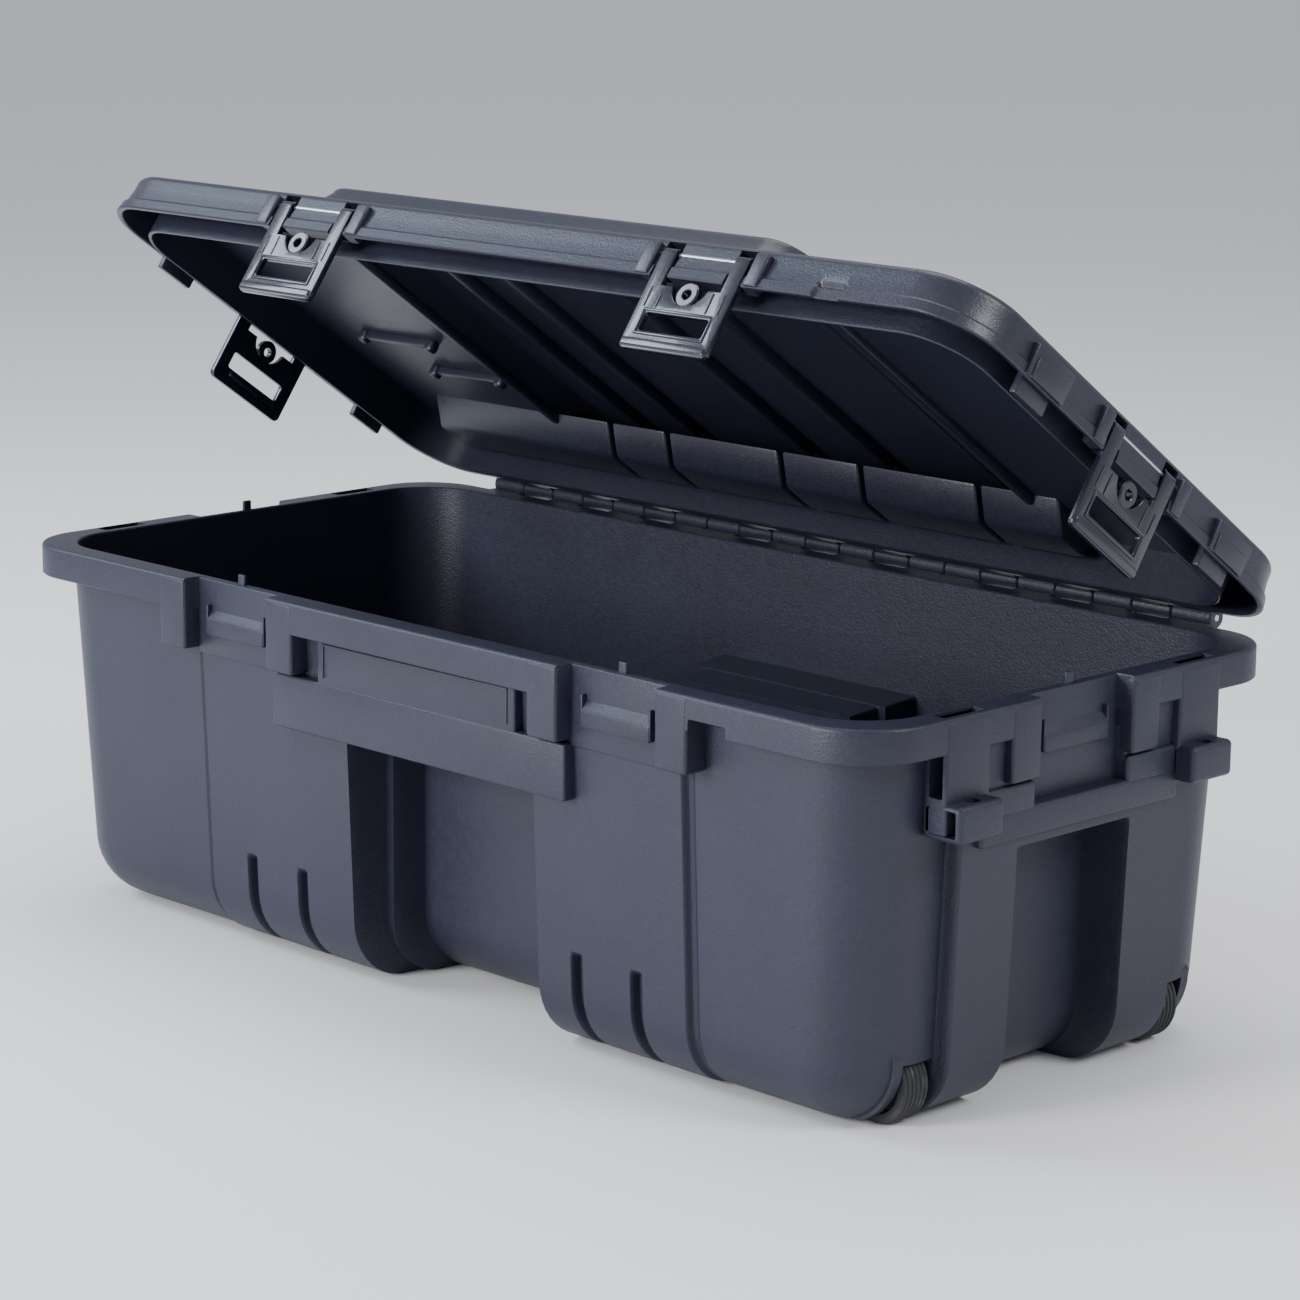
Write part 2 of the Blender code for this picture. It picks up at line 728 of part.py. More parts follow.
def lid_nubs():
    """Four short blocks under the ends of the lid that drop into slots of the rim."""
    return [
        box(f"nub_{name}",
            (centre - NUB_LENGTH / 2, LID_SKIRT - PROUD + NUB_GAP / 2, RIM_TOP - NUB_DROP),
            (centre + NUB_LENGTH / 2, LID_SKIRT - PROUD + NUB_THICKNESS,
             LIP + LID_SHOULDER - LID_SHEET / 2), place)
        for name, place, centre in lug_spots()
    ]


def make_lid():
    """The lid: a skirted tray with a raised crown, upside down over the tub."""
    full = (HALF_LENGTH, HALF_WIDTH)
    shoulder = (HALF_LENGTH - LID_DRAFT, HALF_WIDTH - LID_DRAFT)
    lid = object_from("lid", tapered_block(
        full, shoulder, LIP, LIP + LID_SHOULDER, RIM_CORNER, top_round=LID_EDGE_ROUND,
        edge_steps=2
    ), PARTS, "lid_charcoal")
    crown_low = (CROWN_HALF_LENGTH + CROWN_DRAFT, CROWN_HALF_WIDTH)
    crown_high = (CROWN_HALF_LENGTH, CROWN_HALF_WIDTH - CROWN_DRAFT)
    crown = object_from("crown", tapered_block(
        crown_low, crown_high, LIP + LID_SHOULDER - WALL, LIP + LID_CROWN, CROWN_CORNER,
        corner_steps=4, top_round=LID_EDGE_ROUND, edge_steps=2,
    ))
    combine(lid, [crown], "UNION", "crown_block")
    inside = (HALF_LENGTH - LID_SKIRT, HALF_WIDTH - LID_SKIRT)
    inside_top = (inside[0] - LID_DRAFT, inside[1] - LID_DRAFT)
    cavity = object_from("lid_cavity", tapered_block(
        inside, inside_top, LIP - PROUD, LIP + LID_SHOULDER - LID_SHEET, RIM_CORNER - LID_SKIRT
    ))
    crown_cavity = object_from("crown_cavity", tapered_block(
        (crown_low[0] - WALL, crown_low[1] - WALL), (crown_high[0] - WALL, crown_high[1] - WALL),
        LIP + LID_SHOULDER - LID_SHEET - TUCK, LIP + LID_CROWN - LID_SHEET, CROWN_CORNER - WALL,
        corner_steps=4,
    ))
    for piece in (crown, crown_cavity):
        piece.location.x = FIELD_SHIFT
    combine(lid, [cavity, crown_cavity], "DIFFERENCE", "hollow")
    knuckles = hinge_knuckles(
        "lid", knuckle_spots(1), LIP + PROUD, HINGE_Z + KNUCKLE_RADIUS - PROUD,
        HALF_WIDTH - LID_SKIRT / 2,
    )
    combine(lid, [lid_ridge()] + lid_latch_bosses() + lid_nubs() + knuckles, "UNION", "added")
    combine(lid, lid_latch_cutters() + hinge_bores("lid"), "DIFFERENCE", "cut")
    return lid


def latch_mesh():
    """One latch about its pivot: two arms, a plate with a window, a padlock eye and a grip edge."""
    half = PLATE_WIDTH / 2
    thick = PLATE_THICKNESS
    plate = object_from("latch_plate", box_mesh(
        (-half, -thick, -PLATE_LENGTH), (half, 0, -PLATE_TOP_DROP)
    ))
    added, removed = [], []
    added.append(box("grip", (-half + TUCK, -thick - GRIP_RISE, -PLATE_LENGTH + TUCK),
                     (half - TUCK, -PROUD, -PLATE_LENGTH + GRIP_HEIGHT)))
    hook_top = LEDGE_BOTTOM - HOOK_GAP - PIVOT_Z
    added.append(box("hook", (-HOOK_WIDTH / 2, -PROUD, hook_top - HOOK_HEIGHT),
                     (HOOK_WIDTH / 2, ledge_face() - PIVOT_INSET - FIT_GAP, hook_top)))
    for side in (-1, 1):
        near, far = sorted((side * (half - SLIVER), side * (half - ARM_WIDTH)))
        added.append(box("arm", (near, -thick + SLIVER, -PLATE_TOP_DROP - TUCK), (far, -SLIVER, 0)))
        added.append(cylinder("barrel", BARREL_RADIUS, (near, 0, 0), (far, 0, 0), segments=20))
    notch = EYE_RADIUS + EYE_NOTCH_GAP
    removed.append(cylinder("eye_notch", notch, (0, -thick - THROUGH, -PLATE_TOP_DROP + WALL),
                            (0, THROUGH, -PLATE_TOP_DROP + WALL), segments=32))
    removed.append(box("window", (-WINDOW_WIDTH / 2, -thick - THROUGH, -WINDOW_DROP - WINDOW_HEIGHT / 2),
                       (WINDOW_WIDTH / 2, THROUGH, -WINDOW_DROP + WINDOW_HEIGHT / 2)))
    combine(plate, removed, "DIFFERENCE", "openings")
    eye = [
        cylinder("eye", EYE_RADIUS, (0, -thick + SLIVER, -EYE_DROP), (0, -SLIVER, -EYE_DROP)),
        box("eye_stem", (-EYE_RADIUS / 2, -thick + PROUD, -WINDOW_DROP + WINDOW_HEIGHT / 2 + TUCK),
            (EYE_RADIUS / 2, -PROUD, -EYE_DROP)),
    ]
    combine(plate, added + eye, "UNION", "arms_and_eye")
    bores = [
        cylinder("eye_bore", EYE_BORE, (0, -thick - THROUGH, -EYE_DROP), (0, THROUGH, -EYE_DROP),
                 segments=16),
        cylinder("pin_bore", LATCH_PIN_RADIUS + FIT_GAP, (-half - THROUGH, 0, 0),
                 (half + THROUGH, 0, 0), segments=16),
    ]
    combine(plate, bores, "DIFFERENCE", "bores")
    bpy.context.view_layer.update()
    graph = bpy.context.evaluated_depsgraph_get()
    mesh = bpy.data.meshes.new_from_object(plate.evaluated_get(graph))
    mesh.name = "latch"
    mesh.materials.clear()
    mesh.materials.append(material("latch_gloss"))
    return mesh


def make_latches(lid_axis):
    """Four latches on the lid, each with its own pin, hung from the hinge empty."""
    shared = latch_mesh()
    pivot = Matrix.Translation((0, PIVOT_INSET, PIVOT_Z))
    for name, place in catch_places().items():
        latch = bpy.data.objects.new(f"latch_{name}", shared)
        PARTS.objects.link(latch)
        hang_from(latch, lid_axis, place @ pivot)
        reach = latch_pin_reach()
        pin = cylinder(f"latch_pin_{name}", LATCH_PIN_RADIUS, (-reach, 0, 0), (reach, 0, 0),
                       segments=16, collection=PARTS, finish="steel")
        hang_from(pin, lid_axis, place @ pivot)


def hang_from(item, axis, shut_matrix):
    """Parent an object to the hinge empty, given where it stands with the lid shut."""
    item.parent = axis
    item.matrix_parent_inverse = Matrix.Identity(4)
    item.matrix_basis = Matrix.Translation((0, -HINGE_Y, -HINGE_Z)) @ shut_matrix


def wheel_profile():
    """Half outline of a wheel from bore to tyre, run down its outer side, as (radius, along)."""
    half = WHEEL_WIDTH / 2
    bore = AXLE_RADIUS + FIT_GAP
    disc = half - HUB_RECESS
    web = WHEEL_RADIUS - 2.2 * TYRE_ROUND
    shoulder = [
        (WHEEL_RADIUS - TYRE_ROUND * (1 - math.sin(step * math.pi / 6)),
         half - TYRE_ROUND * (1 - math.cos(step * math.pi / 6)))
        for step in range(4)
    ]
    upper = [(bore, half), (HUB_RADIUS, half), (HUB_RADIUS, disc), (web, disc), (web, half)] + shoulder
    lower = [(radius, -along) for radius, along in reversed(upper)]
    return upper + lower


def make_wheels():
    """Two solid wheels turned about their axles, and the axles."""
    for side, name in ((-1, "front"), (1, "rear")):
        bm = bmesh.new()
        verts = [bm.verts.new((radius, 0, along)) for radius, along in wheel_profile()]
        for start, end in zip(verts, verts[1:] + verts[:1]):
            bm.edges.new((start, end))
        mesh = bpy.data.meshes.new(f"wheel_{name}")
        bm.to_mesh(mesh)
        bm.free()
        wheel = bpy.data.objects.new(f"wheel_{name}", mesh)
        PARTS.objects.link(wheel)
        mesh.materials.append(material("wheel_black"))
        wheel.location = (WHEEL_X, side * WHEEL_Y, WHEEL_RADIUS)
        wheel.rotation_euler = (math.pi / 2, 0, 0)
        screw = wheel.modifiers.new("turn", "SCREW")
        screw.axis = "Z"
        screw.steps = 32
        screw.render_steps = 32
        screw.use_merge_vertices = True
        screw.merge_threshold = 0.0001
        low, high = axle_span(side)
        cylinder(f"wheel_axle_{name}", AXLE_RADIUS, (WHEEL_X, low, WHEEL_RADIUS),
                 (WHEEL_X, high, WHEEL_RADIUS), collection=PARTS, finish="steel")


def make_hinge_pins():
    """One pin through each hinge."""
    reach = (HINGE_LENGTH - KNUCKLE_GAP) / 2
    for x, word in zip(hinge_middles(), ("left", "centre", "right")):
        cylinder(f"hinge_pin_{word}", HINGE_PIN_RADIUS, (x - reach, HINGE_Y, HINGE_Z),
                 (x + reach, HINGE_Y, HINGE_Z), segments=16, collection=PARTS, finish="steel")


def main():
    """Build every piece and open the lid."""
    make_tub()
    lid_axis = bpy.data.objects.new("lid_hinge_axis", None)
    PARTS.objects.link(lid_axis)
    lid_axis.location = (0, HINGE_Y, HINGE_Z)
    lid_axis.rotation_euler = (-LID_OPEN_ANGLE, 0, 0)
    standing = set(bpy.data.objects)
    make_lid()
    for item in [item for item in bpy.data.objects if item not in standing]:
        hang_from(item, lid_axis, Matrix.Identity(4))
    make_latches(lid_axis)
    make_hinge_pins()
    make_wheels()


main()
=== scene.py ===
"""Looks of a wheeled deck storage box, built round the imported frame.

Lengths are metres. X runs along the box, the front faces -Y and Z points up.
Pieces of the lid are shaped with the lid shut and then swung open about its hinge.
"""

from __future__ import annotations

import json
import logging
import math
from dataclasses import dataclass
from enum import Enum
from typing import Callable, Sequence

import bmesh
import bpy
import numpy as np
from mathutils import Matrix

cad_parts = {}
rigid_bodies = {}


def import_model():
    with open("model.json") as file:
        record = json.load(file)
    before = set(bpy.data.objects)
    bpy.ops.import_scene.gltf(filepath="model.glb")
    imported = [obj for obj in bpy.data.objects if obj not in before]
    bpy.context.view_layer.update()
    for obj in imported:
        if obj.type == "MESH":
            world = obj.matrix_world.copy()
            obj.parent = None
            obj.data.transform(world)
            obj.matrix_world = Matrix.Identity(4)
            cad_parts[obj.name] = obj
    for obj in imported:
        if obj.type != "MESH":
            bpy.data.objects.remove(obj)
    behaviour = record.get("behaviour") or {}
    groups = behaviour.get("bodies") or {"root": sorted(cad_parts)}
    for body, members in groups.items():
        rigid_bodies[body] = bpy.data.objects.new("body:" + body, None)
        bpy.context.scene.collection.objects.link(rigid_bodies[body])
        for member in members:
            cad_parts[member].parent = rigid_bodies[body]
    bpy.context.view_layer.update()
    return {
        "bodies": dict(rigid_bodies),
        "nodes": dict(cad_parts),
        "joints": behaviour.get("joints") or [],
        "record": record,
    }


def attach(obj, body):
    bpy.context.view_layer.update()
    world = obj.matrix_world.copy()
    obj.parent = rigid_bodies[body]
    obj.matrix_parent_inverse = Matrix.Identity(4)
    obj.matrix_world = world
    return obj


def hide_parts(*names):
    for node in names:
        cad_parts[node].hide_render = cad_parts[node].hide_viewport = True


LOG = logging.getLogger("deck_box")
Array = np.ndarray
Point = tuple[float, float, float]
Box = tuple[Point, Point]
Socket = bpy.types.NodeSocket

MERGE_DISTANCE = 1e-6
COLLAPSE_DISTANCE = 1e-7
CLOSEST_LINES = 1.5e-4
EDGE_SPREAD = np.array([-0.64, -0.5, -0.3, -0.12, 0.12, 0.3, 0.5, 0.64])


# --------------------------------------------------------------------------- meshes


@dataclass(frozen=True)
class Shape:
    """Points and faces of a surface, before it becomes a piece."""

    points: Array
    faces: list[list[int]]

    def moved(self, change: Callable[[Array], Array]) -> "Shape":
        """The same faces on changed points."""
        return Shape(change(self.points), self.faces)


def joined(shapes: Sequence[Shape]) -> Shape:
    """One shape out of several, with the face numbers carried on.

    Args:
        shapes: The shapes to join.
    Returns:
        A shape that holds all of them.
    """
    faces: list[list[int]] = []
    start = 0
    for shape in shapes:
        faces.extend([[index + start for index in face] for face in shape.faces])
        start += len(shape.points)
    return Shape(np.concatenate([shape.points for shape in shapes]), faces)


def grid_faces(rows: int, columns: int, wrap_rows: bool = False) -> Array:
    """Quads of a grid whose rows close on themselves: (r, c), (r, c+1), (r+1, c+1), (r+1, c).

    Args:
        rows: Number of rows of points.
        columns: Number of points in a row.
        wrap_rows: True if the last row joins the first.
    Returns:
        An array of quads.
    """
    row = np.arange(rows if wrap_rows else rows - 1)[:, None]
    column = np.arange(columns)[None, :]
    next_row, next_column = (row + 1) % rows, (column + 1) % columns
    corners = (
        row * columns + column, row * columns + next_column,
        next_row * columns + next_column, next_row * columns + column,
    )
    full = (row.size, columns)
    return np.stack([np.broadcast_to(item, full) for item in corners], -1).reshape(-1, 4)


def capped(rows: int, columns: int) -> list[list[int]]:
    """Faces of a grid whose first and last rows are closed by one cap each.

    Args:
        rows: Number of rows of points.
        columns: Number of points in a row.
    Returns:
        The faces.
    """
    last = (rows - 1) * columns
    caps = [list(range(columns))[::-1], list(range(last, last + columns))]
    return grid_faces(rows, columns).tolist() + caps


def lathe(profile: Array, turns: int, wrap: bool = True) -> Shape:
    """A profile turned about local Z: x = r cos(a), y = r sin(a), z = h.

    Args:
        profile: Rows of (radius, height).
        turns: Number of steps round.
        wrap: True if the profile is a closed loop, else its two ends are capped.
    Returns:
        The turned shape.
    """
    angle = np.linspace(0, 2 * math.pi, turns, endpoint=False)
    radius, height = profile[:, 0][:, None], profile[:, 1][:, None]
    x, y = radius * np.cos(angle), radius * np.sin(angle)
    points = np.stack(np.broadcast_arrays(x, y, height), -1)
    rows = len(profile)
    faces = grid_faces(rows, turns, wrap_rows=True).tolist() if wrap else capped(rows, turns)
    return Shape(points.reshape(-1, 3), faces)


def rounded_box(low: Point, high: Point, radius: float = 0.002, steps: int = 3) -> Shape:
    """A box whose edges are quarter rounds.

    Each point is corner + radius * (cos(t) cos(a), cos(t) sin(a), sin(t)), where the
    angles a and t stop twice at every quarter turn, once for each corner beside it.

    Args:
        low: Lowest corner.
        high: Highest corner.
        radius: Radius of the edges.
        steps: Steps of each quarter round.
    Returns:
        The closed box.
    """
    low_at, high_at = np.array(low, float), np.array(high, float)
    middle, half = (low_at + high_at) / 2, (high_at - low_at) / 2
    radius = min(radius, float(half.min()) * 0.95)
    quarter = np.linspace(0, math.pi / 2, steps + 1)
    around = np.concatenate([quarter + turn * math.pi / 2 for turn in range(4)])
    signs_x = np.repeat([1, -1, -1, 1], steps + 1)
    signs_y = np.repeat([1, 1, -1, -1], steps + 1)
    tilt = np.concatenate([quarter - math.pi / 2, quarter])
    signs_z = np.repeat([-1, 1], steps + 1)
    inner = half - radius
    x = middle[0] + signs_x * inner[0] + radius * np.cos(tilt)[:, None] * np.cos(around)
    y = middle[1] + signs_y * inner[1] + radius * np.cos(tilt)[:, None] * np.sin(around)
    z = np.broadcast_to((middle[2] + signs_z * inner[2] + radius * np.sin(tilt))[:, None], x.shape)
    return Shape(np.stack([x, y, z], -1).reshape(-1, 3), capped(tilt.size, around.size))


def blocks(boxes: Sequence[Box], radius: float = 0.002, steps: int = 3) -> list[Shape]:
    """Rounded boxes out of pairs of corners, all with the same edge."""
    return [rounded_box(low, high, radius, steps) for low, high in boxes]


def read_back(mesh: bpy.types.Mesh) -> Shape:
    """The points and faces of a mesh, which is then removed.

    Args:
        mesh: The mesh to read.
    Returns:
        Its shape.
    """
    points = np.empty(len(mesh.vertices) * 3)
    mesh.vertices.foreach_get("co", points)
    shape = Shape(points.reshape(-1, 3), [list(polygon.vertices) for polygon in mesh.polygons])
    bpy.data.meshes.remove(mesh)
    return shape


def make_piece(name: str, shape: Shape, sharp: float = 40.0) -> bpy.types.Object:
    """A mesh object out of a shape: doubles merged, faces outward, smooth but for sharp edges.

    Args:
        name: The piece's name.
        shape: Its points and faces.
        sharp: Edges that turn more than this many degrees stay crisp.
    Returns:
        The new object, standing at the origin.
    """
    mesh = bpy.data.meshes.new(name)
    mesh.from_pydata(shape.points.tolist(), [], shape.faces)
    tidy = bmesh.new()
    tidy.from_mesh(mesh)
    bmesh.ops.remove_doubles(tidy, verts=tidy.verts, dist=MERGE_DISTANCE)
    bmesh.ops.dissolve_degenerate(tidy, edges=tidy.edges, dist=COLLAPSE_DISTANCE)
    bmesh.ops.recalc_face_normals(tidy, faces=tidy.faces)
    tidy.to_mesh(mesh)
    tidy.free()
    mesh.polygons.foreach_set("use_smooth", np.ones(len(mesh.polygons), bool))
    mesh.set_sharp_from_angle(angle=math.radians(sharp))
    piece = bpy.data.objects.new(name, mesh)
    bpy.context.scene.collection.objects.link(piece)
    return piece


def finish_piece(
    piece: bpy.types.Object, body: str, slot: str, material: bpy.types.Material, *nodes: str
) -> bpy.types.Object:
    """Dresses a piece and ties it to the frame.

    Args:
        piece: The piece.
        body: The CAD body that it rides on.
        slot: The record's material slot; not used.
        material: Its material.
        nodes: CAD nodes that it stands for.
    Returns:
        The same piece.
    """
    piece.data.materials.clear()
    piece.data.materials.append(material)
    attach(piece, body)
    if nodes:
        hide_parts(*nodes)
    LOG.info("%s: %d faces on %s", piece.name, len(piece.data.polygons), body)
    return piece


# --------------------------------------------------------------------------- materials


@dataclass(frozen=True)
class Board:
    """A new material's nodes: its shader, and the Object coordinates that its patterns read."""

    material: bpy.types.Material
    shader: bpy.types.Node
    place: Socket

    @classmethod
    def start(cls, name: str) -> "Board":
        """A board for a new material.

        Args:
            name: The material's name.
        Returns:
            The board.
        """
        material = bpy.data.materials.new(name)
        material.use_nodes = True
        nodes = material.node_tree.nodes
        place = nodes.new("ShaderNodeTexCoord").outputs["Object"]
        return cls(material, nodes["Principled BSDF"], place)

    def feed(self, node: bpy.types.Node, values: dict[str, object]) -> None:
        """Sets a node's inputs: a socket is linked, anything else is a value.

        Args:
            node: The node.
            values: A socket or a value for each input, by name.
        """
        for name, value in values.items():
            if isinstance(value, Socket):
                self.material.node_tree.links.new(value, node.inputs[name])
            else:
                node.inputs[name].default_value = value

    def add(self, kind: str, output: str, values: dict[str, object]) -> Socket:
        """Adds a node.

        Args:
            kind: The node's type.
            output: Name of the output to hand back.
            values: A socket or a value for each input, by name.
        Returns:
            The named output.
        """
        node = self.material.node_tree.nodes.new(kind)
        self.feed(node, values)
        return node.outputs[output]

    def noise(self, scale: float, detail: float = 2.0, vector: Socket | None = None) -> Socket:
        """A noise value at a scale, read in Object coordinates unless a vector is given."""
        values = {"Scale": scale, "Detail": detail, "Vector": vector or self.place}
        return self.add("ShaderNodeTexNoise", "Fac", values)

    def mix(self, factor: object, first: object, second: object, blend: str = "MIX") -> Socket:
        """Mixes two colours.

        Args:
            factor: How much of the second is taken.
            first: The first colour.
            second: The second colour.
            blend: The way of blending.
        Returns:
            The mixed colour.
        """
        node = self.material.node_tree.nodes.new("ShaderNodeMix")
        node.data_type, node.blend_type = "RGBA", blend
        self.feed(node, {"Factor": factor, "A": first, "B": second})
        return node.outputs["Result"]


@dataclass(frozen=True)
class PlasticFinish:
    """Moulded plastic: a colour with slow and fine variation, grain in the bump, pale scuffs."""

    name: str
    colour: Point
    roughness: float = 0.5
    grain: float = 0.25
    grain_size: float = 0.0011
    mottle: float = 0.12
    scuff: float = 0.0
    specular: float = 0.5
    coat: float = 0.0
    coat_roughness: float = 0.06
    slow_scale: float = 9.0
    fine_share: float = 0.35
    rough_down: float = 0.06
    rough_up: float = 0.08
    grain_depth: float = 0.25
    scuff_scale: Point = (30.0, 160.0, 90.0)
    scuff_range: tuple[float, float] = (0.56, 0.78)
    scuff_colour: Point = (0.30, 0.30, 0.32)

    def build(self) -> bpy.types.Material:
        """The node material: noise at three scales on Object coordinates.

        Returns:
            The new material.
        """
        board = Board.start(self.name)
        slow = board.noise(self.slow_scale, 4.0)
        fine = board.noise(self.fine_share / self.grain_size, 3.0)
        grain = board.noise(1.0 / self.grain_size)
        dark, light = (
            (*[part * (1 + sign * self.mottle) for part in self.colour], 1) for sign in (-1, 1)
        )
        colour = board.mix(self.mottle, board.mix(slow, dark, light), fine, "OVERLAY")
        if self.scuff:
            colour = self._scuffed(board, colour)
        rough = board.add("ShaderNodeMapRange", "Result", {
            "To Min": self.roughness - self.rough_down, "To Max": self.roughness + self.rough_up,
            "Value": fine,
        })
        bump = board.add("ShaderNodeBump", "Normal", {
            "Strength": self.grain, "Distance": self.grain_size * self.grain_depth, "Height": grain,
        })
        board.feed(board.shader, {
            "Base Color": colour, "Roughness": rough, "Normal": bump,
            "Specular IOR Level": self.specular, "Coat Weight": self.coat,
            "Coat Roughness": self.coat_roughness,
        })
        return board.material

    def _scuffed(self, board: Board, colour: Socket) -> Socket:
        """Pale worn streaks mixed over a colour where a stretched noise peaks.

        Args:
            board: The material's nodes.
            colour: The colour to wear.
        Returns:
            The worn colour.
        """
        stretch = board.add(
            "ShaderNodeMapping", "Vector", {"Scale": self.scuff_scale, "Vector": board.place}
        )
        low, high = self.scuff_range
        peak = board.add("ShaderNodeMapRange", "Result", {
            "From Min": low, "From Max": high, "To Max": self.scuff,
            "Value": board.noise(1.0, 5.0, stretch),
        })
        return board.mix(peak, colour, (*self.scuff_colour, 1))


@dataclass(frozen=True)
class SteelFinish:
    """Drawn steel rod with fine rings of brushing."""

    name: str = "drawn_steel"
    colour: Point = (0.56, 0.57, 0.58)
    rough_low: float = 0.22
    rough_high: float = 0.47
    brush_scale: float = 400.0

    def build(self) -> bpy.types.Material:
        """The node material: metal whose roughness follows a fine noise.

        Returns:
            The new material.
        """
        board = Board.start(self.name)
        rough = board.add("ShaderNodeMapRange", "Result", {
            "To Min": self.rough_low, "To Max": self.rough_high,
            "Value": board.noise(self.brush_scale),
        })
        board.feed(
            board.shader, {"Metallic": 1.0, "Base Color": (*self.colour, 1), "Roughness": rough}
        )
        return board.material


class Finish(Enum):
    """The finishes of the box, each named for its slot in the record."""

    tub_charcoal = PlasticFinish(
        "tub_plastic", (0.0185, 0.0200, 0.0375), 0.44, 0.85, 0.0017, 0.26, specular=0.42
    )
    lid_charcoal = PlasticFinish("lid_plastic", (0.016, 0.0175, 0.032), 0.35, 0.55, 0.0016, 0.22)
    latch_gloss = PlasticFinish(
        "latch_plastic", (0.008, 0.009, 0.018), 0.24, 0.08, 0.003, 0.10, coat=0.25
    )
    wheel_black = PlasticFinish(
        "wheel_plastic", (0.020, 0.020, 0.023), 0.55, 0.30, 0.0016, 0.15, scuff=0.22
    )
    steel = SteelFinish()

    def material(self) -> bpy.types.Material:
        """The finish's material, built once."""
        found = bpy.data.materials.get(self.value.name)
        return found or self.value.build()


# --------------------------------------------------------------------------- ring shells


@dataclass(frozen=True)
class Ring:
    """One level of a shell: a rounded rectangle at a height, and the relief that it takes."""

    half_x: float
    half_y: float
    corner: float
    height: float
    relief: str = ""
    centre_x: float = 0.0
    even: bool = False


@dataclass(frozen=True)
class Patch:
    """A stretch of wall set to a new depth: positive stands out, negative goes in.

    The depth is level + lean * height, so that a recess can have an upright floor in a
    drafted wall. The edges are soft wide along the wall, and soft_up wide in height if set.
    """

    along: tuple[float, float]
    up: tuple[float, float]
    level: float
    soft: float = 0.003
    soft_up: float = 0.0
    lean: float = 0.0

    def weight(self, along: Array, up: Array) -> Array:
        """How far a point takes the patch's level: a smooth step 3t^2 - 2t^3 across each edge.

        Args:
            along: Position along the wall.
            up: Height.
        Returns:
            Values from 0 to 1.
        """
        rise = self.soft_up or self.soft
        total = np.ones(np.broadcast(along, up).shape)
        for value, edges, width in ((along, self.along, self.soft), (up, self.up, rise)):
            for edge, sign in zip(edges, (1, -1)):
                step = np.clip((value - edge) * sign / width + 0.5, 0, 1)
                total = total * step * step * (3 - 2 * step)
        return total


def edge_lines(edges: Sequence[tuple[float, float]]) -> Array:
    """Grid lines that follow each rounded edge, given as (place, width)."""
    return np.concatenate([place + EDGE_SPREAD * width for place, width in edges])


def spaced(lines: Array, low: float, high: float, widest: float) -> Array:
    """Grid lines between two limits, with more put in so that no gap is wide.

    Args:
        lines: Lines that have to be there.
        low: Lowest line.
        high: Highest line.
        widest: Widest gap that may stay.
    Returns:
        Sorted lines with both limits.
    """
    inside = lines[(lines > low) & (lines < high)]
    kept = np.unique(np.round(np.concatenate([[low, high], inside]), 5))
    kept = kept[np.concatenate([[True], np.diff(kept) > CLOSEST_LINES])]
    counts = np.maximum(np.ceil(np.diff(kept) / widest).astype(int), 1)
    parts = [np.linspace(a, b, n, endpoint=False) for a, b, n in zip(kept, kept[1:], counts)]
    return np.concatenate([*parts, [kept[-1]]])


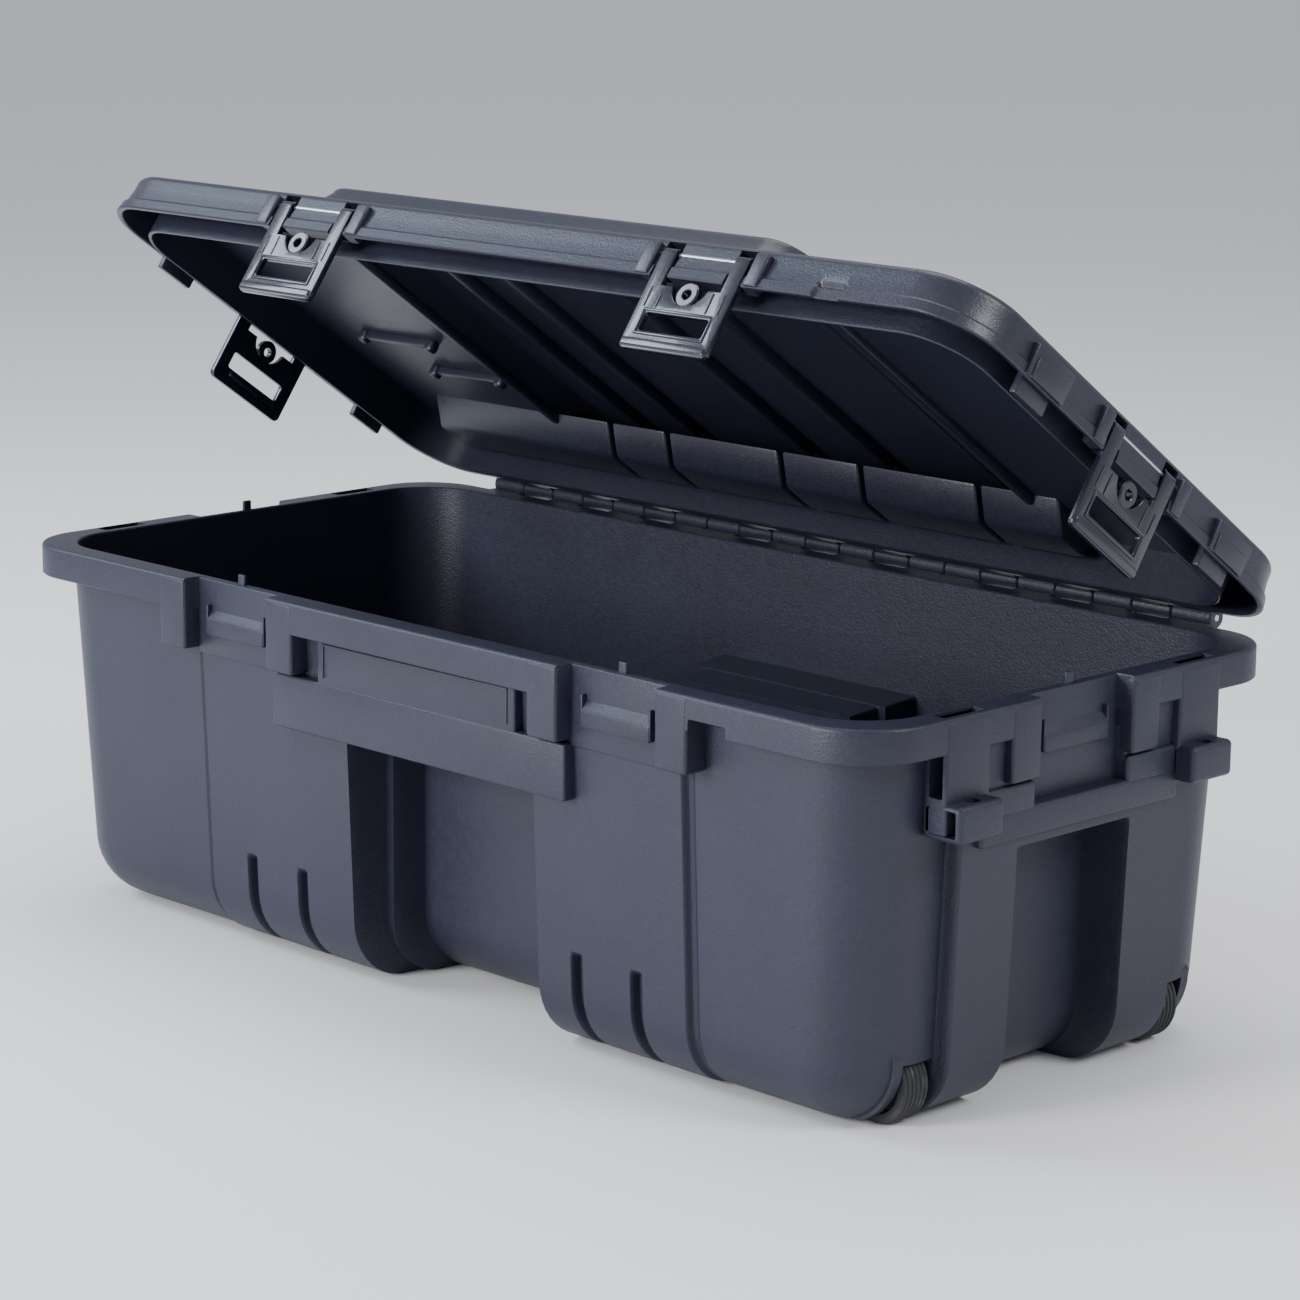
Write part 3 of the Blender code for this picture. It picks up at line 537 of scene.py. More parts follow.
@dataclass
class RingShell:
    """A closed wall carried round rounded rectangles, with relief pushed along its outward side.

    long_lines and short_lines are the places along the long and the short walls that
    carry grid lines. Lines nearer the middle than hold_long and hold_short keep their
    place on every ring, and those beyond it spread to meet the corner.
    """

    long_lines: Array
    short_lines: Array
    corner_steps: int
    hold_long: float
    hold_short: float
    reliefs: dict[str, dict[str, list[Patch]]]

    def build(self, rings: Sequence[Ring], closed: bool = False) -> Shape:
        """The shell's points and faces, capped at its first and last ring.

        A point of a straight wall is centre + half size * outward + place * along, and one
        of a corner is corner centre + corner radius * (cos(a), sin(a)). Relief adds
        level * outward.

        Args:
            rings: The rings in order.
            closed: True if the last ring joins the first, so that nothing is capped.
        Returns:
            The shell.
        """
        parts = [self._sides(rings, name) for name in ("front", "right", "rear", "left")]
        points = np.concatenate(parts, axis=1)
        size = points.shape[:2]
        faces = grid_faces(*size, wrap_rows=True).tolist() if closed else capped(*size)
        return Shape(points.reshape(-1, 3), faces)

    def _sides(self, rings: Sequence[Ring], wall: str) -> Array:
        """One wall and the corner after it, for every ring.

        Args:
            rings: The rings.
            wall: front, right, rear or left.
        Returns:
            Points by ring and by column.
        """
        long_wall = wall in ("front", "rear")
        turn = {"front": 0, "right": 1, "rear": 2, "left": 3}[wall]
        lines = self.long_lines if long_wall else self.short_lines
        hold = self.hold_long if long_wall else self.hold_short
        lines = lines if wall in ("front", "right") else lines[::-1]
        half_x, half_y, corner, height, centre, even = (
            np.array([getattr(ring, size) for ring in rings])[:, None]
            for size in ("half_x", "half_y", "corner", "height", "centre_x", "even")
        )
        reach = (half_x if long_wall else half_y) - corner
        widest = float(np.abs(lines).max())
        beyond = (np.abs(lines) - hold) / (widest - hold)
        spread = np.sign(lines) * (hold + beyond * (reach - hold))
        stretched = np.where(np.abs(lines) <= hold, lines, spread)
        along = np.where(even, lines / widest * reach, stretched)
        level = self._relief(rings, wall, along, height)
        outward = np.array([(0, -1), (1, 0), (0, 1), (-1, 0)][turn])
        if long_wall:
            straight = [centre + along, outward[1] * (half_y + level)]
        else:
            straight = [centre + outward[0] * (half_x + level), along]
        quarter = np.linspace(0, math.pi / 2, self.corner_steps + 1)[1:-1]
        angle = (turn - 1) * math.pi / 2 + quarter
        sign_x, sign_y = ((1, -1), (1, 1), (-1, 1), (-1, -1))[turn]
        bend = [
            centre + sign_x * (half_x - corner) + corner * np.cos(angle),
            sign_y * (half_y - corner) + corner * np.sin(angle),
        ]
        flat = [np.concatenate([a, b], axis=1) for a, b in zip(straight, bend)]
        return np.stack([*flat, np.broadcast_to(height, flat[0].shape)], -1)

    def _relief(self, rings: Sequence[Ring], wall: str, along: Array, height: Array) -> Array:
        """The depth of relief at each point: each patch in turn sets its level over what is there.

        Args:
            rings: The rings.
            wall: The wall's name.
            along: Places along the wall.
            height: Heights of the rings.
        Returns:
            Depth along the outward side.
        """
        level = np.zeros(along.shape)
        for name, walls in self.reliefs.items():
            rows = np.array([ring.relief == name for ring in rings])
            for patch in walls.get(wall, []):
                weight = patch.weight(along[rows], height[rows])
                depth = patch.level + patch.lean * height[rows]
                level[rows] = level[rows] * (1 - weight) + depth * weight
        return level


# --------------------------------------------------------------------------- placing


@dataclass(frozen=True)
class Outline:
    """The sizes that the tub and the lid share."""

    half_length: float = 0.475
    half_width: float = 0.229
    corner: float = 0.055
    rim_top: float = 0.299
    overhang: float = 0.018
    wall: float = 0.004
    lid_gap: float = 0.0007
    field_shift: float = 0.012
    wall_shift: float = 0.018
    recess_shift: float = 0.028
    latch_x: float = 0.213
    lug_y: float = 0.127
    hinge_y: float = 0.244
    hinge_z: float = 0.302
    open_angle: float = math.radians(35.0)
    knuckle_pitch: float = 0.038

    @property
    def lip(self) -> float:
        """Height of the lid's lip when it is shut."""
        return self.rim_top + self.lid_gap

    def swing(self, points: Array) -> Array:
        """Turns points of the shut lid open about the hinge: a rotation in the YZ plane.

        Args:
            points: Points with the lid shut.
        Returns:
            The points with the lid open.
        """
        cos, sin = math.cos(self.open_angle), math.sin(self.open_angle)
        y, z = points[:, 1] - self.hinge_y, points[:, 2] - self.hinge_z
        return np.stack([
            points[:, 0], self.hinge_y + y * cos + z * sin, self.hinge_z - y * sin + z * cos
        ], -1)


class Wall(Enum):
    """A wall of the box, with its outward direction as quarter turns from the front."""

    front = 0
    right = 1
    rear = 2
    left = 3

    def placed(self, shape: Shape, outline: Outline, shift: float = 0.0) -> Shape:
        """Puts a shape drawn against the front wall onto this wall.

        Locally X runs along the wall, Y goes inward from the rim's face and Z is height.

        Args:
            shape: The shape to place.
            outline: The box's outline.
            shift: Position of local X = 0 along the wall.
        Returns:
            The placed shape.
        """
        inward = outline.half_width if self in LONG_WALLS else outline.half_length
        cos, sin = ((1, 0), (0, 1), (-1, 0), (0, -1))[self.value]

        def move(points: Array) -> Array:
            """Turns points about Z by the wall's quarter turns and shifts them along it.

            Args:
                points: Points drawn against the front wall.
            Returns:
                The placed points.
            """
            x, y = points[:, 0], points[:, 1] - inward
            placed = np.stack([x * cos - y * sin, x * sin + y * cos, points[:, 2]], -1)
            placed[:, 0 if self in LONG_WALLS else 1] += shift
            return placed

        return shape.moved(move)

    def row(self, shapes: Sequence[Shape], outline: Outline, shift: float = 0.0) -> list[Shape]:
        """Several shapes placed on this wall."""
        return [self.placed(shape, outline, shift) for shape in shapes]


LONG_WALLS = (Wall.front, Wall.rear)
END_WALLS = (Wall.left, Wall.right)


@dataclass(frozen=True)
class Station:
    """A catch and its latch: name, wall, position along the wall, and the latch's body."""

    name: str
    wall: Wall
    shift: float
    body: str


def stations(outline: Outline) -> list[Station]:
    """The four catches, in order.

    Args:
        outline: The box's outline.
    Returns:
        Their stations.
    """
    middle, reach = outline.field_shift, outline.latch_x
    return [
        Station("front_left", Wall.front, middle - reach, "front_left_latch"),
        Station("front_right", Wall.front, middle + reach, "front_right_latch"),
        Station("left_end", Wall.left, 0.0, "left_end_latch"),
        Station("right_end", Wall.right, 0.0, "right_end_latch"),
    ]


# --------------------------------------------------------------------------- tub


def arc(radius: float, steps: int) -> Array:
    """Rows of (inset, rise) of a quarter round: radius * (1 - sin(a)) and radius * (1 - cos(a))."""
    angle = np.linspace(0, math.pi / 2, steps + 1)
    return np.stack([radius * (1 - np.sin(angle)), radius * (1 - np.cos(angle))], -1)


def cut_shape(shape: Shape, added: Sequence[Shape], removed: Sequence[Shape], name: str) -> Shape:
    """A closed shape with others joined to it and then cut from it, by exact Booleans.

    Args:
        shape: The closed shape.
        added: Closed shapes to join.
        removed: Closed shapes to cut away.
        name: Name of the helpers.
    Returns:
        The result.
    """
    target = make_piece(name, shape)
    helpers = []
    for operation, group in (("UNION", added), ("DIFFERENCE", removed)):
        for number, part in enumerate(group):
            helper = make_piece(f"{name}_{operation}_{number}", part)
            helpers.append(helper)
            modifier = target.modifiers.new(helper.name, "BOOLEAN")
            modifier.operation, modifier.solver, modifier.object = operation, "EXACT", helper
    bpy.context.view_layer.update()
    graph = bpy.context.evaluated_depsgraph_get()
    mesh = bpy.data.meshes.new_from_object(target.evaluated_get(graph))
    for item in [target, *helpers]:
        data = item.data
        bpy.data.objects.remove(item)
        bpy.data.meshes.remove(data)
    return read_back(mesh)


def bar(
    radius: float, start: Point, end: Point, turns: int, bore: float = 0.0, edge: float = 0.0
) -> Shape:
    """A round bar between two points, bored if bore is set, with chamfered ends if edge is set.

    The profile (radius, height) is turned about Z, then Z is laid on the run from start to end.

    Args:
        radius: Outer radius.
        start: One end.
        end: The other end.
        turns: Steps round.
        bore: Radius of the bore.
        edge: Chamfer at the ends.
    Returns:
        The closed bar.
    """
    run = np.array(end, float) - np.array(start, float)
    length = float(np.linalg.norm(run))
    outside = [(radius - edge, 0), (radius, edge), (radius, length - edge), (radius - edge, length)]
    if not edge:
        outside = [(radius, 0), (radius, length)]
    profile = outside if not bore else [(bore, 0), *outside, (bore, length)]
    shape = lathe(np.array(profile, float), turns, wrap=bool(bore))
    third = run / length
    first = np.cross(third, (0, 0, 1) if abs(third[2]) < 0.9 else (1, 0, 0))
    first /= np.linalg.norm(first)
    frame_axes = np.stack([first, np.cross(third, first), third])
    return shape.moved(lambda points: points @ frame_axes + np.array(start, float))


@dataclass
class Tub:
    """The moulded tub: a ring shell with relief, wheel wells cut in it, and blocks on its walls."""

    outline: Outline
    end_draft: float = 0.012
    side_draft: float = 0.013
    base_round: float = 0.050
    rim_depth: float = 0.025
    rim_round: float = 0.003
    panel_outer: float = 0.268
    panel_rise: float = 0.004
    recess_half: float = 0.103
    recess_top: float = 0.1975
    step_inset: float = 0.056
    pocket_step: float = 0.0105
    pocket_inset: float = 0.086
    grooves: tuple[float, float] = (0.1553, 0.217)
    groove_width: float = 0.010
    groove_top: float = 0.078
    end_panel_half: float = 0.122
    end_panel_rise: float = 0.013
    end_recess_half: float = 0.060
    end_recess_top: float = 0.190
    end_recess_inset: float = 0.050
    catch_half: float = 0.050
    catch_depth: float = 0.0145
    cheek_width: float = 0.031
    cheek_bottom: float = 0.242
    wheel_x: float = 0.4175
    wheel_y: float = 0.139
    wheel_radius: float = 0.030
    well_gap: float = 0.005
    well_half: float = 0.0155
    line_edge: float = 0.003
    side_bands: tuple[Box, ...] = (
        ((-0.164, 0.0075, 0.1975), (0.164, 0.0240, 0.240)),
        ((-0.111, 0.0081, 0.236), (0.111, 0.0215, 0.2955)),
    )
    label_frame: tuple[Box, ...] = (
        ((-0.104, 0.0069, 0.2696), (0.104, 0.0090, 0.2712)),
        ((-0.1038, 0.0071, 0.2442), (-0.1024, 0.0091, 0.2706)),
        ((0.1024, 0.0071, 0.2442), (0.1038, 0.0091, 0.2706)),
    )
    end_bands: tuple[Box, ...] = (
        ((-0.108, 0.003, 0.200), (0.108, 0.0235, 0.2225)),
        ((-0.1078, 0.0033, 0.216), (-0.0505, 0.0225, 0.240)),
        ((0.0505, 0.0033, 0.216), (0.1078, 0.0225, 0.240)),
    )

    def drafted(self, height: float) -> tuple[float, float]:
        """Half sizes of the body's wall at a height.

        Args:
            height: Height above the base.
        Returns:
            Half length and half width.
        """
        line, down = self.outline, 1 - height / self.outline.rim_top
        return (
            line.half_length - line.overhang - self.end_draft * down,
            line.half_width - line.overhang - self.side_draft * down,
        )

    def relief(self, grow: float) -> dict[str, list[Patch]]:
        """Patches of the body's walls. grow widens the recesses, for the inner side.

        Args:
            grow: How much wider the recesses are than outside.
        Returns:
            Patches for each wall.
        """
        line = self.outline
        half_x, half_y = self.drafted(0)
        lean_y, lean_x = -self.side_draft / line.rim_top, -self.end_draft / line.rim_top
        low, high = -1.0, 1.0
        side: list[Patch] = []
        end: list[Patch] = []
        if not grow:
            reach = self.panel_outer
            middle = line.wall_shift
            for edge in (middle - reach - 0.004, middle + reach + 0.004):
                side.append(Patch((edge - 0.0035, edge + 0.0035), (low, 0.262), -0.0016, 0.003))
            side.append(Patch((middle - reach, middle + reach), (low, high), self.panel_rise))
            groove = self.groove_width / 2
            for place in (sign * spot for sign in (-1, 1) for spot in self.grooves):
                middle = line.wall_shift + place
                side.append(Patch((middle - groove, middle + groove), (low, self.groove_top),
                                  -0.003, 0.003, 0.008, lean_y))
            reach = self.end_panel_half
            end.append(Patch((-reach, reach), (low, high), self.end_panel_rise))
        reach, step = self.recess_half + grow, self.pocket_step
        middle = line.recess_shift
        side.append(Patch((middle - reach, middle + reach), (low, self.recess_top + grow),
                          line.half_width - self.step_inset - half_y, 0.003, 0.004, lean_y))
        side.append(Patch((middle - reach + step, middle + reach - step),
                          (low, self.recess_top + grow - step / 2),
                          line.half_width - self.pocket_inset - half_y, 0.003, 0.004, lean_y))
        end.append(Patch((-self.end_recess_half - grow, self.end_recess_half + grow),
                         (low, self.end_recess_top + grow),
                         line.half_length - self.end_recess_inset - half_x, 0.004, 0.006, lean_x))
        if not grow:
            half = self.catch_half
            for sign in (-1, 1):
                at = line.field_shift + sign * line.latch_x
                side.append(Patch((at - half, at + half), (0.262, high), -0.003, 0.002))
            end.append(Patch((-half, half), (0.222, high), 0.004, 0.002))
            end.append(Patch((-half, half), (0.262, high), -0.003, 0.002))
        return {"front": side, "rear": side, "right": end, "left": end}

    def rim_relief(self, level: float) -> dict[str, list[Patch]]:
        """Patches that set the rim back at each catch.

        Args:
            level: Depth of the setback.
        Returns:
            Patches for each wall.
        """
        line = self.outline
        front = [
            Patch((at - self.catch_half, at + self.catch_half), (0, 1), level, 0.0016)
            for at in (line.field_shift - line.latch_x, line.field_shift + line.latch_x)
        ]
        end = [Patch((-self.catch_half, self.catch_half), (0, 1), level, 0.0016)]
        return {"front": front, "rear": [], "right": end, "left": end}

    def shell(self) -> Shape:
        """The walls: rings up the outside, round the rim and down the inside.

        Returns:
            The closed shell, before the wheel wells are cut.
        """
        line = self.outline
        wall, top, edge = line.wall, line.rim_top, self.rim_round
        long_edges = [
            (line.wall_shift + sign * (self.panel_outer + out), self.line_edge)
            for sign in (-1, 1) for out in (0, 0.0075)
        ]
        for grow in (0, wall):
            for inset in (0, self.pocket_step):
                for sign in (-1, 1):
                    place = line.recess_shift + sign * (self.recess_half + grow - inset)
                    long_edges.append((place, self.line_edge))
        for spot in self.grooves:
            for sign in (-1, 1):
                for half in (-1, 1):
                    place = line.wall_shift + sign * spot + half * self.groove_width / 2
                    long_edges.append((place, self.line_edge))
        for station in (-line.latch_x, line.latch_x):
            for half in (-1, 1):
                long_edges.append((line.field_shift + station + half * self.catch_half, 0.0018))
        short_edges = [
            (sign * place, width) for sign in (-1, 1)
            for place, width in (
                (self.end_panel_half, self.line_edge), (self.catch_half, 0.0018),
                (self.end_recess_half, 0.004), (self.end_recess_half + wall, 0.004),
            )
        ]
        rings = [
            Ring(half_x - inset, half_y - inset, max(0.055 - inset, 0.006), rise, "body")
            for inset, rise in arc(self.base_round, 10)
            for half_x, half_y in [self.drafted(rise)]
        ]
        heights = spaced(edge_lines([
            (self.groove_top, 0.008), (self.recess_top, 0.004), (0.262, 0.002), (0.222, 0.002),
            (self.recess_top - self.pocket_step / 2, 0.004), (self.end_recess_top, 0.006),
        ]), self.base_round, top - wall, 0.02)
        rings += [Ring(*self.drafted(z), 0.055, z, "body") for z in heights[1:]]
        full = (line.half_length, line.half_width, line.corner)
        rings += [
            Ring(*[size - wall for size in full], top - wall, "skirt_inside"),
            Ring(*[size - wall for size in full], top - self.rim_depth, "skirt_inside"),
            Ring(*[size - 0.0008 for size in full], top - self.rim_depth, "skirt"),
            Ring(*full, top - self.rim_depth + 0.0008, "skirt"),
        ]
        rings += [
            Ring(*[size - edge + step for size in full], top - rise, "skirt")
            for step, rise in [(edge - i, r) for i, r in arc(edge, 4)][::-1]
        ]
        inner_edge = 0.001
        half_x, half_y = self.drafted(top)
        opening = (half_x - wall, half_y - wall, 0.051)
        rings.append(Ring(*[size + inner_edge for size in opening], top))
        heights = spaced(edge_lines([
            (self.recess_top + wall, 0.004), (self.end_recess_top + wall, 0.006),
            (self.recess_top + wall - self.pocket_step / 2, 0.004),
        ]), self.base_round, top - inner_edge, 0.03)[::-1]
        rings += [
            Ring(half_x - wall, half_y - wall, 0.051, z, "inner")
            for z in heights for half_x, half_y in [self.drafted(z)]
        ]
        bend = self.base_round - wall
        rings += [
            Ring(half_x - wall - inset, half_y - wall - inset, max(0.051 - inset, 0.005),
                 wall + rise, "inner")
            for inset, rise in arc(bend, 8)[::-1][1:]
            for half_x, half_y in [self.drafted(wall + rise)]
        ]
        carrier = RingShell(
            long_lines=spaced(edge_lines(long_edges), -0.42, 0.42, 0.03),
            short_lines=spaced(edge_lines(short_edges), -0.17, 0.17, 0.03),
            corner_steps=14, hold_long=0.30, hold_short=0.128,
            reliefs={
                "body": self.relief(0.0), "inner": self.relief(wall),
                "skirt": self.rim_relief(-0.0150), "skirt_inside": self.rim_relief(-0.0160),
            },
        )
        return carrier.build(rings)

    def wells(self) -> tuple[list[Shape], list[Shape]]:
        """Housings to join round the wheels, and the cuts for wheels, axles and lid nubs.

        Returns:
            Shapes to join and shapes to cut.
        """
        x, z, radius = self.wheel_x, self.wheel_radius, self.wheel_radius + self.well_gap
        wall, seat = self.outline.wall, 0.0045
        added, removed = [], []

        def kept_inside(points: Array) -> Array:
            """Holds points above the floor and inside the end wall, whose foot is a quarter round.

            Args:
                points: Points of a housing.
            Returns:
                The held points.
            """
            held = points.copy()
            held[:, 2] = np.maximum(held[:, 2], wall + 0.0005)
            short = np.maximum(self.base_round - held[:, 2], 0)
            inset = self.base_round - np.sqrt(self.base_round**2 - short**2)
            limit = self.drafted(0)[0] + self.end_draft * held[:, 2] / self.outline.rim_top - inset
            held[:, 0] = np.minimum(held[:, 0], limit - 0.0006)
            return held

        for sign in (-1, 1):
            middle, grown = sign * self.wheel_y, self.well_half + seat + wall
            outer = radius + wall
            housing = bar(outer, (x - 0.001, middle - grown, z), (x - 0.001, middle + grown, z), 64)
            added.append(housing.moved(kept_inside))
            half = self.well_half
            removed.append(bar(radius, (x, middle - half, z), (x, middle + half, z), 48))
            removed.append(rounded_box(
                (x - radius + 0.0002, middle - half + 0.0002, -0.02),
                (x + 0.09, middle + half - 0.0002, z), 1e-4, 1,
            ))
            reach = half + seat + 0.0003
            removed.append(bar(0.0043, (x, middle - reach, z), (x, middle + reach, z), 24))
            removed.append(rounded_box((x - 0.0033, middle - reach + 0.0002, -0.02),
                                       (x + 0.0033, middle + reach - 0.0002, z), 1e-4, 1))
        for wall_side in END_WALLS:
            for sign in (-1, 1):
                slot = rounded_box((-0.021, 0.0042, 0.285), (0.021, 0.0160, 0.33), 0.001, 2)
                removed.append(wall_side.placed(slot, self.outline, sign * self.outline.lug_y))
        notch = rounded_box((0.3075, -0.01, 0.255), (0.344, 0.0135, 0.283), 0.002, 2)
        removed.append(Wall.front.placed(notch, self.outline))
        return added, removed

    def bands(self) -> Shape:
        """The thick bands and necks of the long walls, and the notched bands of the ends.

        Returns:
            All the bands.
        """
        line = self.outline
        parts: list[Shape] = []
        for wall in LONG_WALLS:
            parts += wall.row(blocks(self.side_bands), line, line.field_shift)
            parts += wall.row(blocks(self.label_frame, 0.0006, 2), line, line.field_shift)
        for wall in END_WALLS:
            parts += wall.row(blocks(self.end_bands, 0.003, 4), line)
        return joined(parts)

    def catches(self) -> Shape:
        """The cheeks, the back of each catch, and the small tabs over them.

        Returns:
            The blocks of the four catches.
        """
        parts = []
        inner, outer = self.catch_half, self.catch_half + self.cheek_width
        for spot in stations(self.outline):
            bottom = 0.238 if spot.wall is Wall.front else 0.2215
            blocks = [
                rounded_box((sign * inner if sign > 0 else -outer, -0.0005, self.cheek_bottom),
                            (outer if sign > 0 else -inner, 0.0213, 0.2975), 0.0028, 4)
                for sign in (-1, 1)
            ]
            blocks.append(rounded_box((-inner - 0.0006, self.catch_depth, bottom),
                                      (inner + 0.0006, 0.0210, 0.2985), 0.0012, 3))
            blocks.append(rounded_box((-0.004, 0.0172, 0.296), (0.004, 0.0203, 0.307), 0.001, 3))
            parts += [spot.wall.placed(block, self.outline, spot.shift) for block in blocks]
        return joined(parts)

    def ledges(self) -> Shape:
        """The sloped ledge of each catch: a prism whose front top edge is drawn down.

        Returns:
            The four ledges.
        """
        face, drop, bottom, top = 0.0095, 0.011, 0.2555, 0.2775
        parts = []
        for spot in stations(self.outline):
            block = rounded_box((-0.035, face, bottom), (0.035, 0.018, top), 0.0012, 3)

            def slope(points: Array) -> Array:
                """Lowers points by drop * share * upper, both running from 0 to 1.

                Args:
                    points: Points of the ledge's block.
                Returns:
                    The sloped points.
                """
                lowered = points.copy()
                share = np.clip((0.0145 - points[:, 1]) / (0.0145 - face), 0, 1)
                upper = np.clip((points[:, 2] - bottom) / (top - bottom), 0, 1)
                lowered[:, 2] -= drop * share * upper
                return lowered

            parts.append(spot.wall.placed(block.moved(slope), self.outline, spot.shift))
            for sign in (-1, 1):
                web = rounded_box((sign * 0.0345 - 0.0012, 0.0102, 0.2565),
                                  (sign * 0.0345 + 0.0012, 0.018, 0.279), 0.0008, 2)
                parts.append(spot.wall.placed(web, self.outline, spot.shift))
        return joined(parts)

    def lugs(self) -> Shape:
        """Rope lugs: a column under the rim, hollow from one side, and a bored tip.

        Returns:
            The four lugs.
        """
        parts = []
        for wall in END_WALLS:
            for sign in (-1, 1):
                away = sign if wall is Wall.right else -sign
                near, far = sorted((-0.008 * away, 0.032 * away))
                column = rounded_box((-0.023, -0.0005, 0.216), (0.023, 0.0213, 0.2970), 0.003, 4)
                hollow = rounded_box((near, 0.0030, 0.2425), (far, 0.0150, 0.288), 0.0015, 2)
                slot = rounded_box((-0.0215, 0.0042, 0.2845), (0.0215, 0.0160, 0.33), 0.001, 2)
                column = cut_shape(column, [], [hollow, slot], "lug_column")
                near, far = sorted((0.0105 * away, 0.032 * away))
                tip = rounded_box((-0.023, -0.014, 0.213), (0.023, 0.0213, 0.240), 0.004, 5)
                bore = bar(0.006, (0, -0.0035, 0.19), (0, -0.0035, 0.26), 28)
                pocket = rounded_box((near, -0.0095, 0.2172), (far, 0.0150, 0.2360), 0.0015, 2)
                tip = cut_shape(tip, [], [bore, pocket], "lug_tip")
                for shape in (column, tip):
                    parts.append(wall.placed(shape, self.outline, sign * self.outline.lug_y))
        return joined(parts)

    def build(self) -> list[bpy.types.Object]:
        """Makes and dresses the tub's pieces.

        Returns:
            The pieces.
        """
        finish = Finish.tub_charcoal.material()
        added, removed = self.wells()
        shell = cut_shape(self.shell(), added, removed, "tub_walls")
        knuckles = knuckle_row(self.outline, 0, (0.2272, 0.2775), 0.2985)
        pieces = [finish_piece(
            make_piece("tub_shell", shell, 32.0), "tub_body", "tub_charcoal", finish, "tub"
        )]
        for name, shape in (
            ("tub_bands", self.bands()), ("tub_catches", self.catches()),
            ("tub_ledges", self.ledges()), ("tub_rope_lugs", self.lugs()),
            ("tub_hinge_knuckles", knuckles),
        ):
            pieces.append(finish_piece(make_piece(name, shape), "tub_body", "tub_charcoal", finish))
        return pieces


def knuckle_row(
    outline: Outline, first: int, web_start: tuple[float, float], web_top: float
) -> Shape:
    """Every second hinge knuckle, each with the web that joins it to its wall.

    Args:
        outline: The box's outline.
        first: 0 for the tub's knuckles, 1 for the lid's.
        web_start: Y and Z where the web starts.
        web_top: Top of the web.
    Returns:
        The knuckles, with the lid shut.
    """
    parts = []
    radius, bore, half, in_hinge = 0.0085, 0.0028, 0.0186, 7
    y, z = outline.hinge_y, outline.hinge_z
    for hinge in (-1, 0, 1):
        for turn in range(first, in_hinge, 2):
            x = (hinge * in_hinge + turn - in_hinge // 2) * outline.knuckle_pitch
            parts.append(bar(radius, (x - half, y, z), (x + half, y, z), 28, bore, 0.001))
            web = half - 0.0004
            parts.append(rounded_box((x - web, *web_start), (x + web, y - 0.0035, web_top),
                                     0.001, 2))
    return joined(parts)


# --------------------------------------------------------------------------- lid


